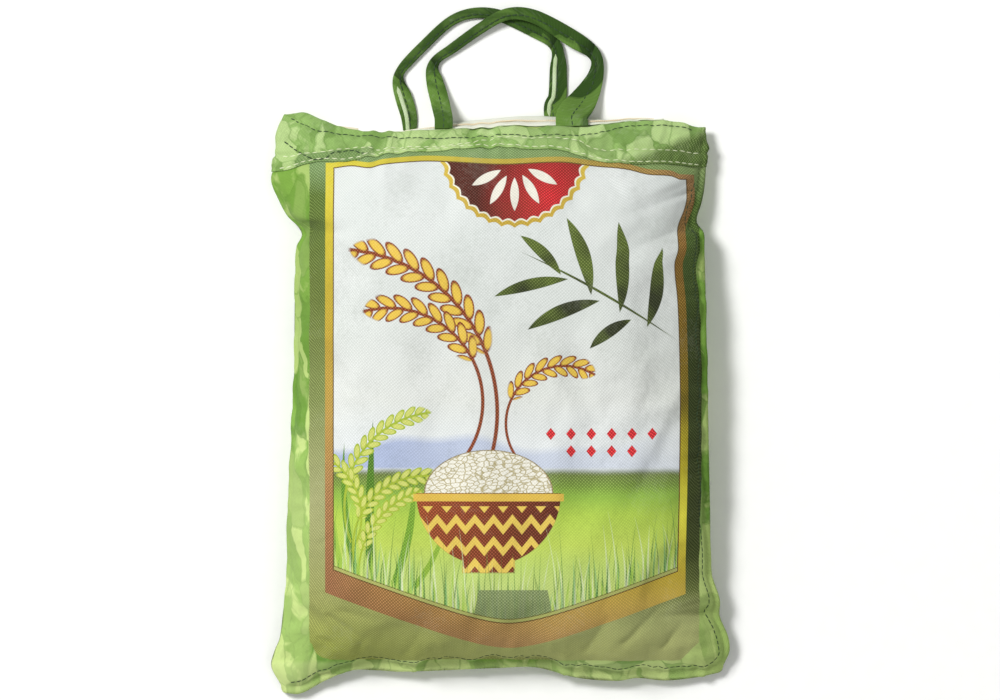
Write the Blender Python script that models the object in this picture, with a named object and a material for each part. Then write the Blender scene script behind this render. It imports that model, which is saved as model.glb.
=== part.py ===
"""A filled five-kilogram rice sack with a zip top and two carrying handles, lying on its back.

Metres, +Z up. The printed front faces up, +Y runs from the bottom hem to the zip mouth, and the
origin is on the flat underside below the middle of the sack. The sack is two panels of cloth sewn
together round the rim, so its skins are grids over two directions: `across`, from -1 at the left
rim to 1 at the right one, and `along`, from 0 at the bottom seam to 1 at the mouth. A value past
either end is the sewn edge that stands out beyond the rim.
"""

import math

import bmesh
import bpy
from mathutils import Matrix, Vector

MM = 0.001

# Driving dimensions, in millimetres
LENGTH = 380.0
LEFT_SIDE = (-147.0, -142.5)
RIGHT_SIDE = (142.0, 134.4)
HALF_WIDTH = 142.0
CREST = 78.0
SEAM_THICKNESS = 2.4
HEM_FLANGE = 5.5
RIGHT_FLANGE = 4.5
LEFT_FLANGE = 2.8
GAP = 0.45
BAND_HEIGHT = 23.0
BAND_THICKNESS = 1.5
BACK_LIFT = 2.6
TAPE_GAP = 0.9
TAPE_THICKNESS = 0.8
TOOTH_HEIGHT = 1.4
TOOTH_DIP = 0.8
SLIDER_SIZE = (8.0, 5.6, 2.6)
PULL_SIZE = (15.0, 4.2, 1.2)
SLIDER_BEVEL = 0.35
STRAP_CLOTH = 1.6
STRAP_FOLDED = 3.4
FOLDS_BELOW = 14.0
STRAP_LEAD = 8.0
ROOT_GAP = 0.6

# Where the zip lies: across the mouth, and as shares of its height from the front panel
TAPE_END = 0.84
TAPE_BAND = (0.12, 0.96)
COIL_ENDS = (-0.7, 0.79)
COIL_BAND = (0.36, 0.56)
SLIDER_PLACE = -0.735

# Where each strap leaves its band, as (place across, strap width)
FRONT_ROOTS = ((-0.27, 12.6), (0.378, 23.0))
BACK_ROOTS = ((-0.444, 8.4), (0.284, 13.0))

# How many cells each piece has
BODY_COLUMNS = 30
BODY_ROWS = 33
BAND_ROWS = 3
COIL_COLUMNS = 110
STRAP_STATIONS = 46
STRAP_CORNERS = 10

# How the filling rounds off: towards the sides, the hem and the mouth
SIDE_ROUNDING = (2.4, 0.6)
HEM_ROUNDING = (2.3, 0.6)
HEM_RISE = 0.24
MOUTH_ROUNDING = 2.9
MOUTH_FALL = 0.34
BACK_ROUNDING = 2.2

# How far each edge stands out from its straight line, as (place, millimetres)
LEFT_FLARE = (
    (0.0, 6.0), (0.026, 12.8), (0.05, 10.6), (0.07, 7.1), (0.11, 5.0), (0.18, 2.2), (0.3, 0.8),
    (0.5, -1.0), (0.78, -1.5), (0.806, -5.2), (0.84, 5.0), (0.87, 11.3), (0.9, 16.2), (0.93, 13.5),
    (0.98, 11.5), (1.0, 8.0),
)
RIGHT_FLARE = (
    (0.0, 8.0), (0.03, 12.4), (0.06, 11.6), (0.1, 6.0), (0.13, 6.2), (0.176, 1.0), (0.3, 0.4),
    (0.78, 0.2), (0.808, 0.0), (0.828, -4.8), (0.863, -1.0), (0.89, 1.2), (0.925, 2.6),
    (0.96, 3.0), (1.0, 2.4),
)
HEM_WAVE = (
    (-1.0, -10.0), (-0.94, -10.4), (-0.84, -1.5), (-0.72, 6.0), (-0.6, 6.2), (-0.47, 5.2), (0.0, 7.9),
    (0.18, 8.2), (0.37, 1.2), (0.57, -1.2), (0.67, 0.8), (0.8, -1.0), (0.93, 1.2), (1.0, 4.0),
)
MOUTH_WAVE = (
    (-1.0, 10.0), (-0.94, 11.8), (-0.88, 6.6), (-0.8, 0.8), (-0.7, -1.7), (-0.55, -3.2), (-0.4, -2.4),
    (0.0, -0.8), (0.35, -0.2), (0.55, 1.5), (0.7, 4.8), (0.87, 5.0), (1.0, 1.0),
)

# Height of the sewn rim and of the mouth, as (place, millimetres)
LEFT_RIM = ((0.0, 8.5), (0.1, 14.0), (0.35, 17.5), (0.75, 17.0), (0.9, 11.0), (1.0, 7.5))
RIGHT_RIM = ((0.0, 10.0), (0.12, 20.0), (0.35, 32.0), (0.7, 32.0), (0.86, 21.0), (1.0, 11.0))
HEM_RIM = ((-1.0, 8.5), (-0.7, 14.0), (0.0, 17.0), (0.7, 15.0), (1.0, 10.0))
MOUTH_RIM = (
    (-1.0, 7.5), (-0.8, 13.0), (-0.45, 21.0), (0.0, 25.0), (0.5, 23.0), (0.8, 16.5), (1.0, 11.0),
)

# How far the back panel reaches past the front one at the mouth
BACK_REACH = (
    (-1.0, 0.0), (-0.86, -6.0), (-0.72, -7.0), (-0.5, -3.0), (-0.34, 0.8), (-0.22, 4.2),
    (-0.1, 6.0), (0.14, 8.2), (0.3, 7.8), (0.5, 4.5), (0.68, 0.8), (0.85, -2.0), (1.0, 0.0),
)

# Folds that show in the cloth: start x, y, end x, y, depth and half width
FOLDS = (
    (-146.0, 122.0, -112.0, 118.0, 3.2, 5.0),
    (140.0, 124.0, 112.0, 117.0, 3.4, 5.0),
    (136.0, 152.0, 86.0, 130.0, 2.2, 5.0),
    (128.0, 141.0, 60.0, 118.0, 1.4, 6.0),
    (100.0, 160.0, 52.0, 148.0, 1.4, 6.0),
    (150.0, -147.0, 116.0, -155.0, 5.0, 7.0),
    (112.0, -150.0, 70.0, -158.0, 1.8, 7.0),
    (-132.0, -176.0, -108.0, -160.0, 2.6, 6.0),
    (-138.0, -148.0, -104.0, -168.0, 2.0, 6.0),
    (-158.0, -180.0, -142.0, -168.0, 2.6, 5.0),
)

# The middle of each strap between its roots, as x, y, z, and its width as (share of length, width)
FRONT_PATH = (
    (-43.0, 204.0, 13.0), (-45.0, 212.5, 6.0), (-47.8, 222.9, 3.1), (-49.5, 232.0, 3.0),
    (-46.6, 238.8, 2.9), (-36.4, 246.0, 2.8), (-16.1, 260.4, 5.0), (0.0, 269.5, 7.4),
    (12.0, 271.0, 7.6), (26.0, 267.0, 7.7), (50.4, 252.4, 6.2), (62.0, 244.8, 3.6),
    (66.0, 238.0, 3.2), (65.4, 229.0, 3.0), (61.8, 219.6, 4.4), (56.0, 209.5, 10.6),
)
FRONT_WIDTHS = (
    (0.0, 12.6), (0.125, 13.0), (0.17, 11.8), (0.207, 8.5), (0.236, 6.6), (0.3, 7.4), (0.45, 8.2),
    (0.568, 10.0), (0.68, 12.2), (0.737, 9.6), (0.77, 8.6), (0.81, 11.4), (0.85, 15.5), (0.9, 19.5),
    (1.0, 23.0),
)
BACK_PATH = (
    (-66.4, 201.0, 1.8), (-70.0, 213.0, 1.8), (-73.0, 221.5, 2.1), (-73.1, 228.0, 2.3),
    (-69.2, 234.4, 2.3), (-54.8, 249.4, 2.2), (-38.5, 264.4, 2.2), (-26.6, 270.2, 2.2),
    (-12.6, 271.6, 2.2), (1.4, 268.4, 2.2), (25.9, 257.4, 2.2), (34.6, 251.4, 2.2),
    (38.4, 244.6, 2.1), (38.8, 230.0, 1.8), (38.0, 212.0, 1.7),
)
BACK_WIDTHS = (
    (0.0, 8.4), (0.04, 10.8), (0.09, 12.0), (0.13, 11.4), (0.165, 8.8), (0.195, 6.6), (0.24, 7.2),
    (0.42, 7.2), (0.55, 8.0), (0.7, 10.2), (0.76, 9.0), (0.8, 8.8), (0.845, 12.0), (1.0, 13.0),
)


def mix(low, high, share):
    return low + (high - low) * share


def clamped(value, low=0.0, high=1.0):
    return max(low, min(high, value))


def curve(points, at):
    """Smooth curve through (place, value) points, read at one place."""
    if at <= points[0][0]:
        return points[0][1]
    if at >= points[-1][0]:
        return points[-1][1]
    low = max(i for i, point in enumerate(points) if point[0] <= at)
    (x0, y0), (x1, y1) = points[low], points[low + 1]

    def slope(i):
        before, after = points[max(i - 1, 0)], points[min(i + 1, len(points) - 1)]
        return (after[1] - before[1]) / (after[0] - before[0])

    width = x1 - x0
    s = (at - x0) / width
    start, end = slope(low) * width, slope(low + 1) * width
    settled = y0 * (1 - s) ** 2 * (1 + 2 * s) + y1 * s * s * (3 - 2 * s)
    return settled + start * s * (1 - s) ** 2 - end * s * s * (1 - s)


def plan(across, along):
    """Place on the floor plan of a point of the cloth, in millimetres."""
    x = mix(mix(*LEFT_SIDE, along), mix(*RIGHT_SIDE, along), (across + 1) / 2)
    near_side = clamped((abs(across) - 0.7) / 0.3) ** 2
    x += near_side * (-curve(LEFT_FLARE, along) if across < 0 else curve(RIGHT_FLARE, along))
    from_hem, from_mouth = LENGTH * along, LENGTH * (1 - along)
    y = from_hem - LENGTH / 2
    y += curve(HEM_WAVE, across) * math.exp(-from_hem / 26.0)
    y += curve(MOUTH_WAVE, across) * math.exp(-from_mouth / 24.0)
    return x, y


def rim_height(across, along):
    """Height of a surface stretched between the four edges of the sack."""
    share = (across + 1) / 2
    sides = mix(curve(LEFT_RIM, along), curve(RIGHT_RIM, along), share)
    ends = mix(curve(HEM_RIM, across), curve(MOUTH_RIM, across), along)
    hem_corners = mix(LEFT_RIM[0][1], RIGHT_RIM[0][1], share)
    mouth_corners = mix(LEFT_RIM[-1][1], RIGHT_RIM[-1][1], share)
    return sides + ends - mix(hem_corners, mouth_corners, along)


def fold_depth(x, y):
    """How far the folds pull the cloth in at a place on the plan."""
    depth = 0.0
    for x0, y0, x1, y1, deep, half_width in FOLDS:
        run, off = Vector((x1 - x0, y1 - y0)), Vector((x - x0, y - y0))
        share = clamped(off.dot(run) / run.length_squared)
        away = (off - run * share).length
        depth += deep * (1 - 0.75 * share) * math.exp(-((away / half_width) ** 2))
    return depth


def gathers(across, along, x, y):
    """Waves that the side, hem and band stitching leaves in the cloth."""
    from_side = (1 - abs(across)) * HALF_WIDTH
    from_hem, from_mouth = LENGTH * along, LENGTH * (1 - along)
    side = 1.3 * math.sin(y / 5.6 + 1.7 * math.sin(y / 31.0) + across) * math.exp(-from_side / 12.0)
    hem = 1.2 * math.sin(x / 6.4 + 1.4 * math.sin(x / 37.0)) * math.exp(-from_hem / 16.0)
    from_band = abs(from_mouth - BAND_HEIGHT)
    band = 0.9 * math.sin(x / 7.1 + 1.2 * math.sin(x / 29.0)) * math.exp(-from_band / 12.0)
    return side + hem + band


def swell(across, along):
    """Share of the full height above the rim that the filling reaches."""
    power, rounding = SIDE_ROUNDING
    beside = (1 - abs(across) ** power) ** rounding
    power, rounding = HEM_ROUNDING
    rising = (1 - (1 - clamped(along / HEM_RISE)) ** power) ** rounding
    falling = 1 - clamped((along - 1 + MOUTH_FALL) / MOUTH_FALL) ** MOUTH_ROUNDING
    return beside * rising * falling


def front_base(across, along):
    """Front panel before its folds, in millimetres."""
    x, y = plan(across, along)
    rim = rim_height(across, along)
    near_side = clamped((abs(across) - 0.8) / 0.2)
    bulge = 3.0 * math.sin(math.pi * near_side) * clamped(1 - abs(along - 0.42) / 0.42)
    x += -bulge if across < 0 else 0.4 * bulge
    lumps = 1.1 * math.sin(x / 23.0 + 0.6) * math.cos(y / 29.0 + 0.4)
    height = rim + swell(across, along) * (CREST - rim + lumps)
    return Vector((x, y, height + SEAM_THICKNESS / 2))


def back_base(across, along):
    """Back panel: flat where it rests, rising to the rim, and clear of the floor at the mouth."""
    x, y = plan(across, along)
    seam = rim_height(across, along) - SEAM_THICKNESS / 2
    sideways = clamped((abs(across) - 0.7) / 0.3)
    endways = 1 - clamped(along / 0.13)
    rising = clamped(math.hypot(sideways, endways))
    height = seam * (1 - math.sqrt(1 - rising**BACK_ROUNDING))
    at_mouth = clamped((along - 0.8) / 0.13)
    lift = BACK_LIFT * at_mouth * at_mouth * (3 - 2 * at_mouth)
    y += curve(BACK_REACH, across) * clamped((along - 0.85) / 0.15) ** 2
    return Vector((x, y, max(height, lift)))


def flange(across, along):
    """How far the sewn edge stands out past the rim at the sides and the hem."""
    out = Vector((0.0, 0.0, 0.0))
    if across < -1:
        out += Vector((-LEFT_FLANGE, 0.0, -2.6))
    if across > 1:
        out += Vector((RIGHT_FLANGE, 0.0, -1.2))
    if along < 0:
        out += Vector((0.0, -HEM_FLANGE, -1.4))
    return out


def outward(base, across, along, sign):
    """Unit normal of a panel, pointing out of the sack."""
    step = 0.004
    a, t = clamped(across, -0.985, 0.985), clamped(along, 0.008, 0.992)
    sideways = base(a + step, t) - base(a - step, t)
    lengthways = base(a, t + step) - base(a, t - step)
    return sideways.cross(lengthways).normalized() * sign


def front(across, along):
    """Front panel with its folds and gathers, in millimetres."""
    a, t = clamped(across, -1.0, 1.0), clamped(along)
    point = front_base(a, t)
    relief = gathers(a, t, point.x, point.y) - fold_depth(point.x, point.y)
    relief *= clamped((1 - abs(a)) / 0.03 + 0.15)
    return point + outward(front_base, a, t, 1) * relief + flange(across, along)


def back(across, along):
    """Back panel with its sewn edge, in millimetres."""
    return back_base(clamped(across, -1.0, 1.0), clamped(along)) + flange(across, along)


# The two panels: skin, skin before its folds, and which way is out
FRONT_PANEL = (front, front_base, 1)
BACK_PANEL = (back, back_base, -1)


def raised(panel, distance):
    """A panel's skin moved out by a distance, for a band that is sewn over it."""
    skin, base, sign = panel

    def point(across, along):
        return skin(across, along) + outward(base, across, along, sign) * distance

    return point


def finished(name, bm, material):
    """Object in the sack's collection from a closed bmesh, its faces turned outwards."""
    bmesh.ops.recalc_face_normals(bm, faces=bm.faces)
    if bm.calc_volume(signed=True) < 0:
        bmesh.ops.reverse_faces(bm, faces=bm.faces)
    mesh = bpy.data.meshes.new(name)
    bm.to_mesh(mesh)
    bm.free()
    mesh.materials.append(material)
    mesh.shade_smooth()
    mesh.set_sharp_from_angle(angle=math.radians(50))
    made = bpy.data.objects.new(name, mesh)
    COLLECTION.objects.link(made)
    made.parent = ROOT
    return made


def slab(name, columns, rows, upper, lower, material):
    """Closed solid between two skins: a grid for one, extruded to make the other."""
    bm = bmesh.new()
    bmesh.ops.create_grid(bm, x_segments=len(columns) - 1, y_segments=len(rows) - 1, size=1.0)
    below = list(bm.verts)
    made = bmesh.ops.extrude_face_region(bm, geom=bm.faces[:])["geom"]
    above = [part for part in made if isinstance(part, bmesh.types.BMVert)]

    def cell(vert):
        column = round((vert.co.x + 1) / 2 * (len(columns) - 1))
        row = round((vert.co.y + 1) / 2 * (len(rows) - 1))
        return columns[column], rows[row]

    places = [(vert, lower(*cell(vert))) for vert in below]
    places += [(vert, upper(*cell(vert))) for vert in above]
    for vert, place in places:
        vert.co = place * MM
    return finished(name, bm, material)


def eased(count):
    """Places from -1 to 1, closer together towards both rims."""
    return [math.sin(math.pi / 2 * (2 * i / count - 1)) for i in range(count + 1)]


def body_columns():
    """Columns of the sack and its bands, with the sewn edge at each side."""
    return [-2.0, *eased(BODY_COLUMNS), 2.0]


def band_rows():
    """Rows under the top bands, which the bands share with the sack."""
    first = 1 - BAND_HEIGHT / LENGTH
    return [mix(first, 1.0, i / BAND_ROWS) for i in range(BAND_ROWS + 1)]


def body_rows():
    """Rows of the sack: the sewn hem, the filled part, closer together near it, and the bands."""
    turn = 0.8 * math.pi
    rise = [(1 - math.cos(turn * i / BODY_ROWS)) / (1 - math.cos(turn)) for i in range(BODY_ROWS)]
    bands = band_rows()
    return [-1.0, *(bands[0] * share for share in rise), *bands]


def make_sack(material):
    """The filled sack itself, front and back panels sewn round the rim."""
    slab("sack", body_columns(), body_rows(), front, back, material)


def make_bands(material):
    """The folded bands of plain cloth sewn over both panels at the mouth."""
    for name, panel in (("front_band", FRONT_PANEL), ("back_band", BACK_PANEL)):
        near, far = raised(panel, GAP), raised(panel, GAP + BAND_THICKNESS)
        slab(name, body_columns(), band_rows(), far, near, material)


def mouth_wall(across, share):
    """Point on the closed mouth, from the front panel at 0 to the back one at 1."""
    return front(across, 1.0).lerp(back(across, 1.0), share)


def mouth_out(across):
    """Unit normal of the mouth, pointing out of it."""
    sideways = front(across + 0.03, 1.0) - front(across - 0.03, 1.0)
    down = back(across, 1.0) - front(across, 1.0)
    return sideways.cross(down).normalized()


def over_mouth(distance, low, high):
    """Skin over the mouth at a distance, between two shares of its height."""

    def point(across, side):
        return mouth_wall(across, mix(low, high, side)) + mouth_out(across) * distance

    return point


def make_tape(material):
    """The zip's woven tape, across the mouth."""
    columns = [across for across in eased(BODY_COLUMNS) if abs(across) < TAPE_END]
    near = over_mouth(TAPE_GAP, *TAPE_BAND)
    far = over_mouth(TAPE_GAP + TAPE_THICKNESS, *TAPE_BAND)
    slab("zip_tape", columns, [0.0, 0.33, 0.67, 1.0], far, near, material)


def make_coil(material):
    """The zip's closed coil: one long bar, notched between its teeth."""
    first, last = COIL_ENDS
    columns = [mix(first, last, i / COIL_COLUMNS) for i in range(COIL_COLUMNS + 1)]
    foot = TAPE_GAP + TAPE_THICKNESS + GAP

    def toothed(across, side):
        place = round((across - first) / (last - first) * COIL_COLUMNS)
        height = TOOTH_HEIGHT if place % 2 else TOOTH_DIP
        return over_mouth(foot + height, *COIL_BAND)(across, side)

    slab("zip_coil", columns, [0.0, 1.0], toothed, over_mouth(foot, *COIL_BAND), material)


def rounded_block(name, size, turn, centre, material):
    """Small bevelled block, turned and then moved to its centre."""
    bm = bmesh.new()
    bmesh.ops.create_cube(bm, size=1.0)
    bmesh.ops.scale(bm, vec=size, verts=bm.verts)
    bmesh.ops.bevel(bm, geom=bm.edges[:], offset=SLIDER_BEVEL, segments=1, affect="EDGES", profile=0.5)
    bmesh.ops.transform(bm, matrix=Matrix.Translation(centre) @ turn, verts=bm.verts)
    bmesh.ops.scale(bm, vec=(MM, MM, MM), verts=bm.verts)
    return finished(name, bm, material)


def make_slider(material):
    """The zip's slider at the shut end, past the last tooth, with its flat pull."""
    middle = sum(COIL_BAND) / 2
    foot = over_mouth(TAPE_GAP + TAPE_THICKNESS + GAP, middle, middle)
    side = (foot(SLIDER_PLACE + 0.02, 0.0) - foot(SLIDER_PLACE - 0.02, 0.0)).normalized()
    out = mouth_out(SLIDER_PLACE)
    out = (out - side * out.dot(side)).normalized()
    turn = Matrix((side, out.cross(side), out)).transposed().to_4x4()
    centre = foot(SLIDER_PLACE, 0.0)
    body_shift = Vector((0.0, 0.0, SLIDER_SIZE[2] / 2))
    pull_shift = Vector((1.5 - PULL_SIZE[0] / 2, 0.0, SLIDER_SIZE[2] - 0.1))
    slider = rounded_block("zip_slider", SLIDER_SIZE, turn, centre + turn @ body_shift, material)
    pull = rounded_block("zip_pull", PULL_SIZE, turn, centre + turn @ pull_shift, material)
    union = slider.modifiers.new("pull", "BOOLEAN")
    union.operation = "UNION"
    union.object = pull
    COLLECTION.objects.unlink(pull)
    CUTTERS.objects.link(pull)
    pull.hide_render = True
    pull.display_type = "WIRE"


def root_of(panel, across, width):
    """Where a strap leaves a band's edge: its centre, sideways direction and width."""
    middle = raised(panel, GAP + BAND_THICKNESS / 2)
    end = middle(across, 1.0)
    run = (end - middle(across, 0.975)).normalized()
    reach = width / 2 / HALF_WIDTH
    side = (middle(across + reach, 1.0) - middle(across - reach, 1.0)).normalized()
    centre = end + run * ROOT_GAP
    lead = centre + (run + Vector((0.0, 1.6 * run.y, 0.0))).normalized() * STRAP_LEAD
    return centre, lead, side


def along_path(points):
    """Stations at even distances along a smooth curve through points."""
    places = [0.0]
    for a, b in zip(points, points[1:]):
        places.append(places[-1] + (Vector(b) - Vector(a)).length)
    tracks = [[(place, point[k]) for place, point in zip(places, points)] for k in range(3)]
    steps = [places[-1] * i / (STRAP_STATIONS - 1) for i in range(STRAP_STATIONS)]
    return [Vector([curve(track, step) for track in tracks]) for step in steps]


def section(bm, centre, side, up, width, thick):
    """Ring of vertices round one flat section of a strap."""
    ring = []
    for k in range(STRAP_CORNERS):
        turn = 2 * math.pi * (k + 0.5) / STRAP_CORNERS
        wide = math.copysign(abs(math.cos(turn)) ** 0.6, math.cos(turn)) * width / 2
        high = math.copysign(abs(math.sin(turn)) ** 0.5, math.sin(turn)) * thick / 2
        ring.append(bm.verts.new((centre + side * wide + up * high) * MM))
    return ring


def strap(name, panel, roots, path, widths, material):
    """A cloth strap lofted from root to root, thicker where it is folded narrow."""
    first, last = (root_of(panel, across, width) for across, width in roots)
    stations = along_path([first[0], first[1], *path, last[1], last[0]])
    bm = bmesh.new()
    rings = []
    for i, centre in enumerate(stations):
        run = (stations[min(i + 1, len(stations) - 1)] - stations[max(i - 1, 0)]).normalized()
        side = Vector((0.0, 0.0, 1.0)).cross(run).normalized()
        if i == 0:
            side = -first[2]
        if i == len(stations) - 1:
            side = last[2]
        share = i / (len(stations) - 1)
        width = curve(widths, share)
        folded = clamped((FOLDS_BELOW - width) / 6.0) * clamped(min(share, 1 - share) / 0.1)
        thick = mix(STRAP_CLOTH, STRAP_FOLDED, folded)
        rings.append(section(bm, centre, side, run.cross(side).normalized(), width, thick))
    for ring, after in zip(rings, rings[1:]):
        for k in range(STRAP_CORNERS):
            n = (k + 1) % STRAP_CORNERS
            bm.faces.new((ring[k], ring[n], after[n], after[k]))
    for ring in (rings[0], rings[-1]):
        bm.faces.new(ring)
    return finished(name, bm, material)


def make_handles(material):
    """Two loops of strap, the front one lying over the back one."""
    strap("front_handle", FRONT_PANEL, FRONT_ROOTS, FRONT_PATH, FRONT_WIDTHS, material)
    strap("back_handle", BACK_PANEL, BACK_ROOTS, BACK_PATH, BACK_WIDTHS, material)


def finish(name, colour, roughness=0.85):
    """Material with one colour, as linear red, green and blue."""
    material = bpy.data.materials.new(name)
    material.use_nodes = True
    shader = material.node_tree.nodes["Principled BSDF"]
    shader.inputs["Base Color"].default_value = (*colour, 1.0)
    shader.inputs["Roughness"].default_value = roughness
    shader.inputs["Metallic"].default_value = 0.0
    return material


def new_collection(name):
    made = bpy.data.collections.new(name)
    bpy.context.scene.collection.children.link(made)
    return made


for item in list(bpy.data.objects):
    bpy.data.objects.remove(item, do_unlink=True)

COLLECTION = new_collection("rice_sack")
CUTTERS = new_collection("joined_pieces")
ROOT = bpy.data.objects.new("sack_origin", None)
COLLECTION.objects.link(ROOT)

make_sack(finish("printed_cloth", (0.55, 0.62, 0.45)))
make_bands(finish("leaf_green_cloth", (0.28, 0.48, 0.17)))
make_tape(finish("cream_tape", (0.8, 0.76, 0.62)))
make_coil(finish("nylon_teeth", (0.7, 0.58, 0.4), roughness=0.45))
make_slider(finish("painted_slider", (0.75, 0.7, 0.55), roughness=0.4))
make_handles(finish("handle_cloth", (0.13, 0.3, 0.06)))
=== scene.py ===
"""Looks of a filled rice sack with a zip top and two carrying handles, lying on its back.

Shapes are worked out in millimetres, as the construction has them, and stored in metres. Every
length in a docstring is in millimetres unless it says otherwise. The sack's cloth is a grid over
two directions: `across`, from -1 at the left rim to 1 at the right one, and `along`, from 0 at the
bottom seam to 1 at the mouth. A value past either end is the sewn edge.
"""

import logging
import math
from dataclasses import dataclass
from enum import Enum
from functools import partialmethod
from typing import Callable, Sequence

import bmesh
import bpy
import numpy as np
from bmesh.types import BMesh, BMVert
from bpy.types import Material, Node, NodeSocket, NodeTree
from bpy.types import Object as Piece
from mathutils import Matrix, Vector
from numpy import ndarray as Array


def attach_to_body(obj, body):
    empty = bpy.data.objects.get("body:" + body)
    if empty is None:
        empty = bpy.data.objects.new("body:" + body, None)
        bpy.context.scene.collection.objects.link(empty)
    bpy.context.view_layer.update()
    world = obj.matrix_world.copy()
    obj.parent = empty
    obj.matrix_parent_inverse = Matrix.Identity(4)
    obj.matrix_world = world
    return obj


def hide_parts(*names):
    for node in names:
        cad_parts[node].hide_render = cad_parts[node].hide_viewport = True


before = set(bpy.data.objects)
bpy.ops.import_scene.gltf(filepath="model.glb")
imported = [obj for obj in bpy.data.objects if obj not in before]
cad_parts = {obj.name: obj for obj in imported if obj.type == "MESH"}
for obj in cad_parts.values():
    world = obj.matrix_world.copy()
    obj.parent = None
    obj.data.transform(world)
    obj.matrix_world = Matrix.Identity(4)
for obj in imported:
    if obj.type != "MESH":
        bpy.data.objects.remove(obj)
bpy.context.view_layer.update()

LOG = logging.getLogger("rice_sack")
MM = 0.001
MERGE_DISTANCE = 1e-7
NORMAL_STEP = 0.004
WAVES = 9
Table = Sequence[tuple[float, ...]]
Colour = tuple[float, float, float]
Skin = Callable[[Array, Array], Array]
Fields = dict[str, "Field"]
Parts = tuple["Value", "Value", "Field"]


def curve(points: Table, at: Array) -> Array:
    """Smooth curve through (place, value) points.

    Args:
        points: Pairs of place and value, by rising place.
        at: Places to read.

    Returns:
        The value at each place, held level past both ends.
    """
    places, values = np.array(points, float).T
    last = len(places) - 1
    before, after = np.maximum(np.arange(last + 1) - 1, 0), np.minimum(np.arange(last + 1) + 1, last)
    slopes = (values[after] - values[before]) / (places[after] - places[before])
    at = np.clip(at, places[0], places[-1])
    low = np.clip(np.searchsorted(places, at, side="right") - 1, 0, last - 1)
    width = places[low + 1] - places[low]
    s = (at - places[low]) / width
    settled = values[low] * (1 - s) ** 2 * (1 + 2 * s) + values[low + 1] * s * s * (3 - 2 * s)
    return settled + width * (slopes[low] * s * (1 - s) ** 2 - slopes[low + 1] * s * s * (1 - s))


def mix(low: Array, high: Array, share: Array) -> Array:
    """Value between low and high at a share."""
    return low + (high - low) * share


def ramp(value: Array, low: float, high: float) -> Array:
    """Share from 0 to 1 that eases in and out between two values."""
    share = np.clip((value - low) / (high - low), 0, 1)
    return share * share * (3 - 2 * share)


def unit(vectors: Array) -> Array:
    """Vectors of length one along the last axis."""
    return vectors / np.linalg.norm(vectors, axis=-1, keepdims=True)


def ripple(x: Array, y: Array, size: float, seed: int) -> Array:
    """Uneven bumps from crossing waves.

    Args:
        x: Places across.
        y: Places along.
        size: Usual distance from bump to bump.
        seed: Which pattern of bumps.

    Returns:
        Heights, mostly between -1 and 1.
    """
    draw = np.random.default_rng(seed)
    turns, phases = draw.uniform(0, 2 * math.pi, (2, WAVES))
    sizes = size * draw.uniform(0.7, 1.5, WAVES)
    total = np.zeros(np.broadcast(x, y).shape)
    for turn, phase, length in zip(turns, phases, sizes):
        total += np.sin((x * math.cos(turn) + y * math.sin(turn)) * 2 * math.pi / length + phase)
    return total / math.sqrt(WAVES)


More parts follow.
